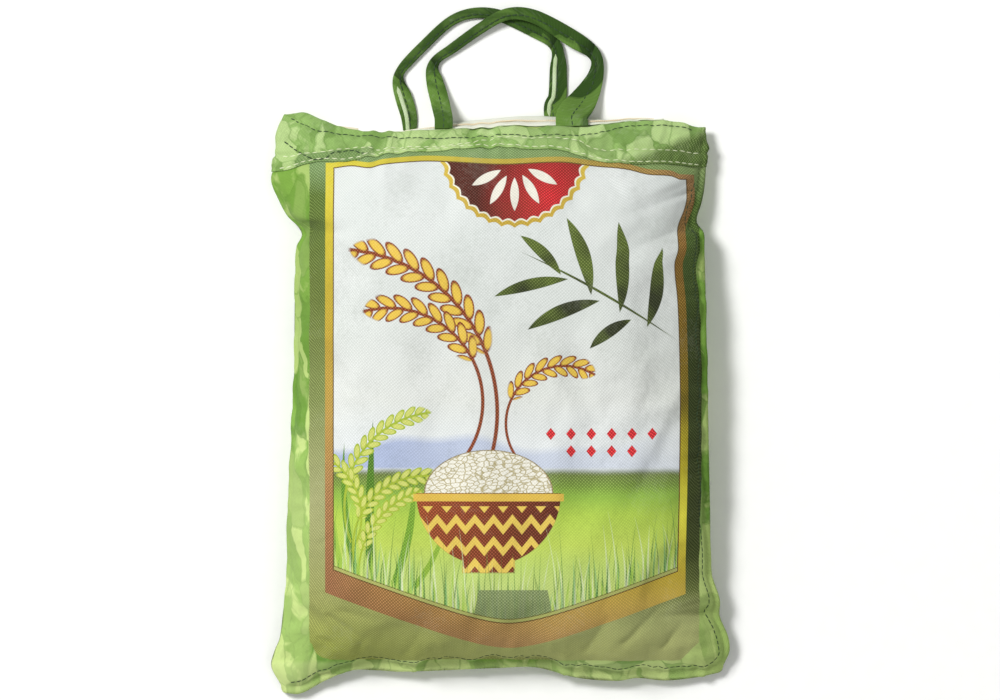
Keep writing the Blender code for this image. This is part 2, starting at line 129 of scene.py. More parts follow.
@dataclass(frozen=True)
class SackShape:
    """The filled sack's two skins, as the construction has them, in millimetres."""

    length: float = 380.0
    left_side: tuple[float, float] = (-147.0, -142.5)
    right_side: tuple[float, float] = (142.0, 134.4)
    half_width: float = 142.0
    crest: float = 78.0
    seam_thickness: float = 2.4
    hem_flange: float = 5.5
    right_flange: float = 4.5
    left_flange: float = 2.8
    band_height: float = 23.0
    back_lift: float = 2.6
    hem_rise: float = 0.24
    mouth_fall: float = 0.34
    flange_drops: tuple[float, float, float] = (2.6, 1.2, 1.4)
    fold_lift: float = 0.125
    left_flare: Table = (
        (0, 6), (0.026, 12.8), (0.05, 10.6), (0.07, 7.1), (0.11, 5), (0.18, 2.2), (0.3, 0.8),
        (0.5, -1), (0.78, -1.5), (0.806, -5.2), (0.84, 5), (0.87, 11.3), (0.9, 16.2),
        (0.93, 13.5), (0.98, 11.5), (1, 8),
    )
    right_flare: Table = (
        (0, 8), (0.03, 12.4), (0.06, 11.6), (0.1, 6), (0.13, 6.2), (0.176, 1), (0.3, 0.4),
        (0.78, 0.2), (0.808, 0), (0.828, -4.8), (0.863, -1), (0.89, 1.2), (0.925, 2.6),
        (0.96, 3), (1, 2.4),
    )
    hem_wave: Table = (
        (-1, -10), (-0.94, -10.4), (-0.84, -1.5), (-0.72, 6), (-0.6, 6.2), (-0.47, 5.2),
        (0, 7.9), (0.18, 8.2), (0.37, 1.2), (0.57, -1.2), (0.67, 0.8), (0.8, -1), (0.93, 1.2),
        (1, 4),
    )
    mouth_wave: Table = (
        (-1, 10), (-0.94, 11.8), (-0.88, 6.6), (-0.8, 0.8), (-0.7, -1.7), (-0.55, -3.2),
        (-0.4, -2.4), (0, -0.8), (0.35, -0.2), (0.55, 1.5), (0.7, 4.8), (0.87, 5), (1, 1),
    )
    left_rim: Table = ((0.0, 8.5), (0.1, 14.0), (0.35, 17.5), (0.75, 17.0), (0.9, 11.0), (1.0, 7.5))
    right_rim: Table = (
        (0, 10), (0.12, 20), (0.35, 32), (0.7, 32), (0.86, 21), (1, 11),
    )
    hem_rim: Table = ((-1.0, 8.5), (-0.7, 14.0), (0.0, 17.0), (0.7, 15.0), (1.0, 10.0))
    mouth_rim: Table = (
        (-1, 7.5), (-0.8, 13), (-0.45, 21), (0, 25), (0.5, 23), (0.8, 16.5), (1, 11),
    )
    back_reach: Table = (
        (-1, 0), (-0.86, -6), (-0.72, -7), (-0.5, -3), (-0.34, 0.8), (-0.22, 4.2),
        (-0.1, 6), (0.14, 8.2), (0.3, 7.8), (0.5, 4.5), (0.68, 0.8), (0.85, -2), (1, 0),
    )
    folds: Table = (
        (-146, 122, -112, 118, 3.2, 5),
        (140, 124, 112, 117, 3.4, 5),
        (136, 152, 86, 130, 2.2, 5),
        (128, 141, 60, 118, 1.4, 6),
        (100, 160, 52, 148, 1.4, 6),
        (150, -147, 116, -155, 5, 7),
        (112, -150, 70, -158, 1.8, 7),
        (-132, -176, -108, -160, 2.6, 6),
        (-138, -148, -104, -168, 2, 6),
        (-158, -180, -142, -168, 2.6, 5),
    )
    creases: Table = (
        (133, 146, 88, 130, 0.9, 1.8),
        (134, 154, 96, 137, 0.8, 1.6),
        (126, 158, 92, 148, 0.6, 1.5),
        (130, 121, 92, 107, 0.7, 1.8),
        (132, 112, 112, 108, 0.8, 1.4),
        (-146, 119, -116, 116, 1, 1.6),
        (-138, 124, -118, 121, 0.7, 1.4),
        (-129, -100, -118, -92, 0.6, 2),
        (-121, -150, -96, -166, 1.2, 2.2),
        (-112, -146, -86, -152, 0.8, 2.4),
        (-128, -166, -112, -172, 0.9, 1.8),
        (-104, -178, -92, -160, 0.8, 2.2),
        (-70, -180, -58, -164, 0.6, 2.6),
        (58, -176, 74, -150, 0.8, 2.4),
        (84, -168, 108, -146, 1, 2.4),
        (146, -148, 110, -151, 1.6, 2.2),
        (143, -140, 118, -147, 0.9, 2),
        (112, -172, 124, -158, 0.9, 2),
        (-8, -182, 4, -168, 0.5, 2.6),
    )

    def plan(self, across: Array, along: Array) -> tuple[Array, Array]:
        """Place on the floor plan.

        Args:
            across: Places between the two rims, from -1 to 1.
            along: Places between the hem and the mouth, from 0 to 1.

        Returns:
            The x and the y of each place.
        """
        x = mix(mix(*self.left_side, along), mix(*self.right_side, along), (across + 1) / 2)
        near_side = np.clip((np.abs(across) - 0.7) / 0.3, 0, 1) ** 2
        flare = np.where(across < 0, -curve(self.left_flare, along), curve(self.right_flare, along))
        _, from_hem, from_mouth = self.from_edges(across, along)
        y = from_hem - self.length / 2
        y = y + curve(self.hem_wave, across) * np.exp(-from_hem / 26.0)
        y = y + curve(self.mouth_wave, across) * np.exp(-from_mouth / 24.0)
        return x + near_side * flare, y

    def from_edges(self, across: Array, along: Array) -> tuple[Array, ...]:
        """Distances from the nearer side, the hem and the mouth, in millimetres."""
        return (1 - np.abs(across)) * self.half_width, self.length * along, self.length * (1 - along)

    def rim_height(self, across: Array, along: Array) -> Array:
        """Height of a surface stretched between the four edges of the sack.

        Args:
            across: Places across.
            along: Places along.

        Returns:
            The heights.
        """
        share = (across + 1) / 2
        sides = mix(curve(self.left_rim, along), curve(self.right_rim, along), share)
        ends = mix(curve(self.hem_rim, across), curve(self.mouth_rim, across), along)
        hem_corners = mix(self.left_rim[0][1], self.right_rim[0][1], share)
        mouth_corners = mix(self.left_rim[-1][1], self.right_rim[-1][1], share)
        return sides + ends - mix(hem_corners, mouth_corners, along)

    def pulled(self, lines: Table, x: Array, y: Array) -> Array:
        """How far fold lines pull the cloth in.

        Args:
            lines: Start x, y, end x, y, depth at the start and half width of each fold.
            x: Places across the plan.
            y: Places along the plan.

        Returns:
            The depth at each place.
        """
        depth = np.zeros_like(x)
        for x0, y0, x1, y1, deep, half_width in lines:
            run_x, run_y = x1 - x0, y1 - y0
            share = ((x - x0) * run_x + (y - y0) * run_y) / (run_x**2 + run_y**2)
            share = np.clip(share, 0, 1)
            away = np.hypot(x - x0 - run_x * share, y - y0 - run_y * share)
            depth += deep * (1 - 0.75 * share) * np.exp(-((away / half_width) ** 2))
        return depth

    def gathers(self, across: Array, along: Array, x: Array, y: Array) -> Array:
        """Waves that the side, hem and band stitching leaves in the cloth.

        Args:
            across: Places across.
            along: Places along.
            x, y: Where they are on the plan.

        Returns:
            The height of the waves.
        """
        from_side, from_hem, from_mouth = self.from_edges(across, along)
        side = 1.3 * np.sin(y / 5.6 + 1.7 * np.sin(y / 31.0) + across) * np.exp(-from_side / 12.0)
        hem = 1.2 * np.sin(x / 6.4 + 1.4 * np.sin(x / 37.0)) * np.exp(-from_hem / 16.0)
        from_band = np.abs(from_mouth - self.band_height)
        band = 0.9 * np.sin(x / 7.1 + 1.2 * np.sin(x / 29.0)) * np.exp(-from_band / 12.0)
        return side + hem + band

    def puckers(self, across: Array, along: Array, x: Array, y: Array) -> Array:
        """Small wrinkles that the stitching, the creases and the grain leave in the front cloth.

        Args:
            across: Places across.
            along: Places along.
            x, y: Where they are on the plan.

        Returns:
            The height of the wrinkles.
        """
        from_side, from_hem, from_mouth = self.from_edges(across, along)
        uneven = 0.6 + 0.4 * ripple(x, y, 60.0, 3)
        side = 1.0 * ripple(x * 0.25, y, 11.0, 5) * np.exp(-from_side / 10.0)
        hem = 1.0 * ripple(x, y * 0.3, 12.0, 7) * np.exp(-from_hem / 14.0)
        band = 0.8 * ripple(x, y * 0.25, 9.0, 9) * np.exp(-np.maximum(from_mouth - 18.0, 0.0) / 12.0)
        grain = 0.08 * ripple(x, y, 6.5, 11) + 0.5 * ripple(x, y, 34.0, 13)
        return (side + hem + band) * uneven + grain - 1.6 * self.pulled(self.creases, x, y)

    def swell(self, across: Array, along: Array) -> Array:
        """Share of the full height above the rim that the filling reaches.

        Args:
            across: Places across.
            along: Places along.

        Returns:
            The shares.
        """
        beside = (1 - np.abs(across) ** 2.4) ** 0.6
        rising = (1 - (1 - np.clip(along / self.hem_rise, 0, 1)) ** 2.3) ** 0.6
        falling = 1 - np.clip((along - 1 + self.mouth_fall) / self.mouth_fall, 0, 1) ** 2.9
        return beside * rising * falling

    def front_base(self, across: Array, along: Array) -> Array:
        """Front panel before its folds, as points in millimetres.

        Args:
            across: Places across.
            along: Places along.

        Returns:
            The points.
        """
        x, y = self.plan(across, along)
        rim = self.rim_height(across, along)
        near_side = np.clip((np.abs(across) - 0.8) / 0.2, 0, 1)
        bulge = 3.0 * np.sin(math.pi * near_side) * np.clip(1 - np.abs(along - 0.42) / 0.42, 0, 1)
        x = x + np.where(across < 0, -bulge, 0.4 * bulge)
        lumps = 1.1 * np.sin(x / 23.0 + 0.6) * np.cos(y / 29.0 + 0.4)
        height = rim + self.swell(across, along) * (self.crest - rim + lumps)
        return np.stack((x, y, height + self.seam_thickness / 2), -1)

    def back_base(self, across: Array, along: Array) -> Array:
        """Back panel: flat where it rests, rising to the rim, clear of the floor at the mouth.

        Args:
            across: Places across.
            along: Places along.

        Returns:
            The points.
        """
        x, y = self.plan(across, along)
        seam = self.rim_height(across, along) - self.seam_thickness / 2
        sideways = np.clip((np.abs(across) - 0.7) / 0.3, 0, 1)
        endways = 1 - np.clip(along / 0.13, 0, 1)
        rising = np.clip(np.hypot(sideways, endways), 0, 1)
        height = seam * (1 - np.sqrt(1 - rising**2.2))
        lift = self.back_lift * ramp(along, 0.8, 0.93)
        y = y + curve(self.back_reach, across) * np.clip((along - 0.85) / 0.15, 0, 1) ** 2
        return np.stack((x, y, np.maximum(height, lift)), -1)

    def flange(self, across: Array, along: Array) -> Array:
        """How far the sewn edge stands out past the rim at the sides and the hem.

        Args:
            across: Places across.
            along: Places along.

        Returns:
            The steps out from the rim.
        """
        past_left, past_right = np.clip(-1 - across, 0, 1), np.clip(across - 1, 0, 1)
        past_hem = np.clip(-along, 0, 1)
        past_side = past_left + past_right
        rounding = np.maximum(past_side, past_hem) / np.maximum(np.hypot(past_side, past_hem), 1e-9)
        rounding = np.where(past_side * past_hem > 0, rounding, 1.0)
        x = (self.right_flange * past_right - self.left_flange * past_left) * rounding
        left, right, hem = self.flange_drops
        z = -left * past_left - right * past_right - hem * past_hem
        return np.stack((x, -self.hem_flange * past_hem * rounding, z), -1)

    def front(self, across: Array, along: Array) -> Array:
        """Front panel with its folds, gathers and wrinkles, as points in millimetres.

        Args:
            across: Places across.
            along: Places along.

        Returns:
            The points.
        """
        a, t = np.clip(across, -1, 1), np.clip(along, 0, 1)
        base = self.front_base(a, t)
        x, y = base[..., 0], base[..., 1]
        relief = self.gathers(a, t, x, y) - self.pulled(self.folds, x, y) + self.puckers(a, t, x, y)
        relief = relief * np.clip((1 - np.abs(a)) / 0.03 + 0.15, 0, 1)
        relief = relief + WRINKLES.read(a, t) * (1 - 0.6 * ramp(t, 0.9, 0.95))
        lifted = base + Panel.FRONT.out(a, t) * relief[..., None]
        return lifted + self.flange(across, along)

    def back(self, across: Array, along: Array) -> Array:
        """Back panel with its sewn edge, as points in millimetres.

        Args:
            across: Places across.
            along: Places along.

        Returns:
            The points.
        """
        a, t = np.clip(across, -1, 1), np.clip(along, 0, 1)
        base = self.back_base(a, t)
        x, y = base[..., 0], base[..., 1]
        inner = np.prod([np.clip(edge / 0.1, 0, 1) for edge in (1 - np.abs(a), t, 1 - t)], axis=0)
        base[..., 2] += inner * self.fold_lift * np.maximum(1 + ripple(x, y, 40.0, 17), 0)
        return base + self.flange(across, along)

    def mouth_wall(self, across: Array, share: Array) -> Array:
        """Points on the closed mouth, from the front panel at 0 to the back one at 1."""
        top = np.ones_like(across)
        return mix(self.front(across, top), self.back(across, top), np.asarray(share)[..., None])

    def mouth_out(self, across: Array) -> Array:
        """Unit normals of the mouth, pointing out of it.

        Args:
            across: Places across.

        Returns:
            The directions.
        """
        top = np.ones_like(across)
        sideways = self.front(across + 0.03, top) - self.front(across - 0.03, top)
        return unit(np.cross(sideways, self.back(across, top) - self.front(across, top)))


SHAPE = SackShape()


class Panel(Enum):
    """The sack's two panels, by the way that each faces."""

    FRONT = 1
    BACK = -1

    def skin(self, across: Array, along: Array) -> Array:
        """Points of the panel with its folds, in millimetres."""
        return (SHAPE.front if self is Panel.FRONT else SHAPE.back)(across, along)

    def base(self, across: Array, along: Array) -> Array:
        """Points of the panel without its folds, in millimetres."""
        return (SHAPE.front_base if self is Panel.FRONT else SHAPE.back_base)(across, along)

    def out(self, across: Array, along: Array) -> Array:
        """Unit normals of the panel, pointing out of the sack.

        Args:
            across: Places across.
            along: Places along.

        Returns:
            The directions.
        """
        a, t = np.clip(across, -0.985, 0.985), np.clip(along, 0.008, 0.992)
        sideways = self.base(a + NORMAL_STEP, t) - self.base(a - NORMAL_STEP, t)
        lengthways = self.base(a, t + NORMAL_STEP) - self.base(a, t - NORMAL_STEP)
        return unit(np.cross(sideways, lengthways)) * self.value


@dataclass
class ClothWrinkles:
    """Wrinkles of the front panel, from a cloth simulation of it cut a little too large.

    The panel is sewn down round its rim and pushed out by the filling. Only the fine part of its
    movement is kept, because the construction already has the sack's large form.
    """

    columns: int = 92
    rows: int = 124
    frames: int = 14
    spare: float = 0.045
    push: float = 1.5
    cap: float = 2.6
    coarse: float = 7.5
    fine: float = 0.7
    moved: Array | None = None

    def run(self) -> None:
        """Lets the panel settle and keeps the height of its wrinkles."""
        across, along = np.linspace(-1, 1, self.columns + 1), np.linspace(0, 1, self.rows + 1)
        a, t = np.meshgrid(across, along)
        start = SHAPE.front(a, t)
        bm = bmesh.new()
        column, row, _ = grid(bm, self.columns, self.rows)
        move(bm, start[row, column])
        panel = placed("panel_for_wrinkles", bm)
        sewn = (column == 0) | (column == self.columns) | (row == 0) | (row == self.rows)
        panel.vertex_groups.new(name="sewn").add(np.flatnonzero(sewn).tolist(), 1.0, "REPLACE")
        self.drape(panel)
        settled = panel.evaluated_get(bpy.context.evaluated_depsgraph_get())
        points = np.array([vert.co for vert in settled.data.vertices]) / MM
        out = Panel.FRONT.out(a, t)
        height = np.zeros(a.shape)
        height[row, column] = np.sum((points - start[row, column]) * out[row, column], axis=1)
        mesh = panel.data
        bpy.data.objects.remove(panel)
        bpy.data.meshes.remove(mesh)
        wrinkles = self.blurred(height, self.fine) - self.blurred(height, self.coarse)
        self.moved = self.cap * np.tanh(wrinkles / self.cap)
        LOG.info("wrinkles: %.2f mm to %.2f mm", self.moved.min(), self.moved.max())

    def drape(self, panel: Piece) -> None:
        """Runs the simulation on the panel.

        Args:
            panel: The panel, with its sewn rim.
        """
        cloth = panel.modifiers.new("settle", "CLOTH")
        wanted = dict(
            quality=6, mass=0.25, tension_stiffness=20.0, compression_stiffness=20.0,
            shear_stiffness=8.0, bending_stiffness=0.02, shrink_min=-self.spare,
            shrink_max=-self.spare, vertex_group_mass="sewn", use_pressure=True,
            uniform_pressure_force=self.push,
        )
        for name, value in wanted.items():
            setattr(cloth.settings, name, value)
        cloth.settings.effector_weights.gravity = 0.0
        cloth.point_cache.frame_end = self.frames + 1
        for step in range(1, self.frames + 1):
            bpy.context.scene.frame_set(step)

    @staticmethod
    def blurred(field: Array, size: float) -> Array:
        """A grid of heights, blurred by a size in cells.

        Args:
            field: The heights.
            size: How far it blurs.

        Returns:
            The blurred heights.
        """
        reach = int(math.ceil(3 * size))
        weights = np.exp(-0.5 * (np.arange(-reach, reach + 1) / size) ** 2)
        weights /= weights.sum()
        for axis in (0, 1):
            margins = [(reach, reach) if k == axis else (0, 0) for k in (0, 1)]
            wide = np.pad(field, margins, mode="reflect")
            field = np.apply_along_axis(np.convolve, axis, wide, weights, mode="valid")
        return field

    def read(self, across: Array, along: Array) -> Array:
        """Height of the wrinkles at places on the panel, in millimetres.

        Args:
            across: Places across.
            along: Places along.

        Returns:
            The heights.
        """
        if self.moved is None:
            return np.zeros(np.broadcast(across, along).shape)
        column = np.clip((across + 1) / 2, 0, 1) * self.columns
        row = np.clip(along, 0, 1) * self.rows
        left = np.minimum(column.astype(int), self.columns - 1)
        low = np.minimum(row.astype(int), self.rows - 1)
        lower = mix(self.moved[low, left], self.moved[low, left + 1], column - left)
        upper = mix(self.moved[low + 1, left], self.moved[low + 1, left + 1], column - left)
        return mix(lower, upper, row - low)


WRINKLES = ClothWrinkles()


def eased(count: int, share: float) -> Array:
    """Places from -1 to 1, closer together towards both rims by a share."""
    even = np.linspace(-1, 1, count + 1)
    return mix(even, np.sin(math.pi / 2 * even), share)


def placed(name: str, bm: BMesh) -> Piece:
    """Object at the origin from a bmesh.

    Args:
        name: The object's name.
        bm: Its mesh, in metres. It is freed.

    Returns:
        The object, smooth and linked to the scene.
    """
    mesh = bpy.data.meshes.new(name)
    bm.to_mesh(mesh)
    bm.free()
    mesh.shade_smooth()
    made = bpy.data.objects.new(name, mesh)
    bpy.context.scene.collection.objects.link(made)
    return made


def grid(bm: BMesh, columns: int, rows: int, walls: bool = False) -> Sequence[Array]:
    """Adds a grid, doubled into a closed slab if it has walls.

    Args:
        bm: The bmesh to add to.
        columns: Cells across.
        rows: Cells along.
        walls: Whether the grid gets a second side and walls between the two.

    Returns:
        The column, the row and the side of every vertex.
    """
    bmesh.ops.create_grid(bm, x_segments=columns, y_segments=rows, size=1.0)
    if walls:
        made = bmesh.ops.extrude_face_region(bm, geom=bm.faces[:])["geom"]
        lifted = [part for part in made if isinstance(part, BMVert)]
        bmesh.ops.translate(bm, vec=(0.0, 0.0, 1.0), verts=lifted)
    spots = np.array([vert.co for vert in bm.verts])
    spots[:, :2] = (spots[:, :2] + 1) / 2 * (columns, rows)
    return np.rint(spots).astype(int).T


def move(bm: BMesh, points: Array) -> None:
    """Moves every vertex to its point, in millimetres."""
    for vert, point in zip(bm.verts, points * MM):
        vert.co = point


def turned_out(bm: BMesh) -> None:
    """Turns the faces of a closed bmesh outwards.

    Args:
        bm: The closed bmesh.
    """
    bmesh.ops.recalc_face_normals(bm, faces=bm.faces)
    if bm.calc_volume(signed=True) < 0:
        bmesh.ops.reverse_faces(bm, faces=bm.faces)


def mark_maps(made: Piece, maps: dict[str, Array]) -> None:
    """Gives an object its own UV maps.

    Args:
        made: The object.
        maps: Place of every vertex on each map, by the map's name.
    """
    mesh = made.data
    corners = np.empty(len(mesh.loops), np.int32)
    mesh.loops.foreach_get("vertex_index", corners)
    for name, places in maps.items():
        layer = mesh.uv_layers.new(name=name)
        layer.data.foreach_set("uv", places[corners].astype(np.float32).ravel())


class Map(Enum):
    """The UV maps that the finishes read."""

    WEAVE = "weave"
    PRINT = "print"


def spread(points: Array) -> Array:
    """Place of every point of a grid when its cloth is laid flat.

    Args:
        points: Points by row and column.

    Returns:
        Distances along the cloth from its middle column and its first row, in metres.
    """
    steps = np.linalg.norm(np.diff(points, axis=1), axis=-1)
    across = np.concatenate((np.zeros((len(points), 1)), np.cumsum(steps, axis=1)), axis=1)
    across -= across[:, [points.shape[1] // 2]]
    steps = np.linalg.norm(np.diff(points, axis=0), axis=-1)
    along = np.concatenate((np.zeros((1, points.shape[1])), np.cumsum(steps, axis=0)), axis=0)
    return np.stack((across, along), -1) * MM


def slab(
    name: str, columns: Array, rows: Array, upper: Skin, lower: Skin, printed: bool = False
) -> Piece:
    """Closed slab of cloth between two skins, as a fine grid.

    Args:
        name: The object's name.
        columns: The grid's places across.
        rows: The grid's places along.
        upper: Skin of the outer side.
        lower: Skin of the inner side.
        printed: Whether the outer side has a map of the print too.

    Returns:
        The closed object with its UV maps.
    """
    bm = bmesh.new()
    column, row, side = grid(bm, len(columns) - 1, len(rows) - 1, walls=True)
    a, t = np.meshgrid(columns, rows)
    skins = np.stack((lower(a, t), upper(a, t)))
    move(bm, skins[side, row, column])
    turned_out(bm)
    piece = placed(name, bm)
    maps = {Map.WEAVE.value: np.stack([spread(skin) for skin in skins])[side, row, column]}
    if printed:
        maps[Map.PRINT.value] = SackPrint.places(skins)[side, row, column]
    mark_maps(piece, maps)
    return piece


def tube(name: str, rings: Array) -> Piece:
    """Closed tube through rings of points.

    Args:
        name: The object's name.
        rings: Points by station and place round the ring.

    Returns:
        The object, its ends filled, with a map of its cloth.
    """
    stations, corners = rings.shape[:2]
    rings = np.concatenate((rings, rings[:, :1]), axis=1)
    flat = spread(rings)
    bm = bmesh.new()
    weave = bm.loops.layers.uv.new(Map.WEAVE.value)
    column, row, _ = grid(bm, corners, stations - 1)
    bm.verts.index_update()
    for face in bm.faces:
        for loop in face.loops:
            loop[weave].uv = flat[row[loop.vert.index], column[loop.vert.index]]
    move(bm, rings[row, column])
    bmesh.ops.remove_doubles(bm, verts=bm.verts, dist=MERGE_DISTANCE)
    bmesh.ops.holes_fill(bm, edges=[edge for edge in bm.edges if edge.is_boundary], sides=0)
    turned_out(bm)
    return placed(name, bm)


class SackPrint:
    """Where the print lies on the sack's cloth."""

    SPAN = 400.0
    BACK_SHIFT = 2.0
    TOP_WANDER: Table = (
        (-118.3, -1.7), (-105.7, -0.2), (-93, -1.7), (-85, 0.3), (-70.7, 1.9), (-50, 2.9),
        (-2, 0.5), (40, 2), (64, -0.7), (86, -2.8), (101, -6.4), (117, -7.4),
        (123, -10),
    )
    RIGHT_WANDER: Table = (
        (-112, -1.2), (-56, 0), (0, 0.6), (42, 0), (70, -1.2), (94.5, -3.2),
        (105, -0.6), (120, -0.8), (133, 4), (140, 5.7), (147, 5.7), (160, 5),
    )

    @classmethod
    def places(cls, skins: Array) -> Array:
        """Place on the print of every point, as the pull of the seams leaves it.

        Args:
            skins: Points by side, row and column, in millimetres. The print is on side 1.

        Returns:
            Places where one unit is the span and the middle of the sack is at a half.
        """
        x, y = skins[..., 0], skins[..., 1]
        x_print = x - curve(cls.RIGHT_WANDER, y) * ramp(x, 50.0, 120.0)
        y_print = y - curve(cls.TOP_WANDER, x) * ramp(y, 110.0, 160.0)
        places = np.stack((x_print, y_print), -1) / cls.SPAN + 0.5
        inner = [np.clip(np.minimum(np.arange(n), n - 1 - np.arange(n)) / 2, 0, 1) for n in x.shape[1:]]
        places[0, ..., 1] += cls.BACK_SHIFT * np.minimum.outer(*inner)
        return places


@dataclass
class SackBody:
    """The filled cloth sack itself."""

    columns: int = 172
    rows: int = 236
    easing: float = 0.65
    rim_cells: int = 3

    def build(self) -> Piece:
        """Makes the front and back panels, sewn round the rim."""
        past = np.linspace(2.0, 1.0, self.rim_cells + 1)[:-1]
        columns = np.concatenate((-past, eased(self.columns, self.easing), past[::-1]))
        turn = 0.86 * math.pi
        share = (1 - np.cos(turn * np.linspace(0, 1, self.rows + 1))) / (1 - math.cos(turn))
        share = mix(np.linspace(0, 1, self.rows + 1), share, self.easing)
        rows = np.concatenate((1 - past, share))
        self.piece = slab("sack_cloth", columns, rows, SHAPE.front, SHAPE.back, printed=True)
        return self.piece

    def dress(self, finish: Material) -> None:
        """Gives the sack its printed cloth."""
        attach(self.piece, finish, "printed_cloth", "sack")


@dataclass
class Band:
    """A folded band of leaf-printed cloth, sewn over one panel at the mouth."""

    name: str
    node: str
    panel: Panel
    depth: Table
    columns: int = 220
    rows: int = 34
    gap: float = 0.35
    thickness: float = 1.6
    puff: float = 1.1
    pinch: float = 0.9

    def surface(self, across: Array, depth: Array, distance: Array) -> Array:
        """Points over the panel.

        Args:
            across: Places across.
            depth: Distance below the mouth's edge.
            distance: Distance out from the panel.

        Returns:
            The points.
        """
        along = 1 - depth / SHAPE.length
        out = self.panel.out(across, along) * np.asarray(distance)[..., None]
        return self.panel.skin(across, along) + out

    def outside(self, across: Array, depth: Array) -> Array:
        """Distance of the band's outer face from the panel.

        Args:
            across: Places across.
            depth: Distance below the mouth's edge.

        Returns:
            The distance: pinched at the seams, puffed between them, round at both edges.
        """
        whole = curve(self.depth, across)
        share = np.clip(depth / whole, 0, 1)
        seams = [curve(line, across) for line in BandSeams.LINES]
        near_seam = np.max([np.exp(-(((depth - seam) / 1.5) ** 2)) for seam in seams], axis=0)
        x = across * SHAPE.half_width
        pucker = ripple(x + depth * 0.5, depth * 0.35, 8.0, 21) * (0.4 + 0.6 * near_seam)
        waves = 0.75 * pucker + 0.6 * ripple(x + depth * 0.8, depth, 19.0, 23)
        puffed = self.puff * (np.sin(math.pi * share) ** 0.5 + waves)
        rounded = np.sqrt(np.clip(1 - np.clip(1 - depth / 1.6, 0, 1) ** 2, 0, 1))
        thick = self.thickness + puffed * (1 - 0.75 * near_seam) - self.pinch * near_seam
        thick = mix(0.9, thick, ramp(whole - depth, 0.0, 2.0))
        return self.gap + np.maximum(thick, 0.7) * mix(0.35, 1.0, rounded)

    def build(self) -> Piece:
        """Makes the band from its lower edge to the fold at the mouth."""
        columns = np.concatenate(([-2.0, -1.5], eased(self.columns, 0.5), [1.5, 2.0]))
        rows = 1 - np.linspace(0, 1, self.rows + 1) ** 1.2

        def far(across: Array, share: Array) -> Array:
            """Outer face."""
            depth = curve(self.depth, across) * share
            return self.surface(across, depth, self.outside(across, depth))

        def near(across: Array, share: Array) -> Array:
            """Inner face."""
            return self.surface(across, curve(self.depth, across) * share, self.gap + 0 * share)

        self.piece = slab(self.name, columns, rows, far, near)
        return self.piece

    def dress(self, finish: Material) -> None:
        """Gives the band its cloth."""
        attach(self.piece, finish, "leaf_green_cloth", self.node)


class BandSeams:
    """Where the bands' seams lie, as (place across, depth below the mouth) in millimetres."""

    TOP_LINE: Table = (
        (-1, 1.8), (-0.97, 3.6), (-0.94, 6.4), (-0.88, 7.6), (-0.83, 6.2), (-0.77, 5.2),
        (-0.69, 4.2), (-0.6, 4.6), (-0.45, 6), (-0.3, 6.6), (0, 6), (0.45, 5.8), (0.62, 3.6),
        (1, 3.2),
    )
    EAR_LINE: Table = (
        (-1, 13), (-0.94, 21.5), (-0.87, 24.8), (-0.79, 18.4), (-0.72, 16.4), (-0.65, 19.4),
    )
    UPPER_ROW: Table = (
        (-1, 22.8), (-0.97, 24), (-0.87, 19.8), (-0.73, 13.8), (-0.58, 14.8), (-0.49, 13.2),
        (-0.37, 12.6), (-0.16, 11), (0.01, 7.8), (0.2, 7.4), (0.41, 9.7), (0.45, 13),
        (0.52, 16), (0.65, 18.3), (1, 18),
    )
    LOWER_ROW: Table = (
        (-1, 31.5), (-0.97, 31), (-0.87, 24.2), (-0.64, 18.6), (-0.4, 14.2), (0, 12.3),
        (0.16, 13), (0.3, 14.2), (0.49, 20.8), (0.62, 24.7), (0.72, 26.2), (1, 25.8),
    )
    FRONT_DEPTH: Table = tuple((place, depth + 1.5) for place, depth in LOWER_ROW)
    BACK_LINE: Table = ((-1.0, 5.4), (1.0, 5.4))
    BACK_ROW: Table = ((-1.0, 21.0), (1.0, 21.0))
    BACK_DEPTH: Table = ((-1.0, 23.0), (1.0, 23.0))
    LINES = (TOP_LINE, UPPER_ROW, LOWER_ROW)


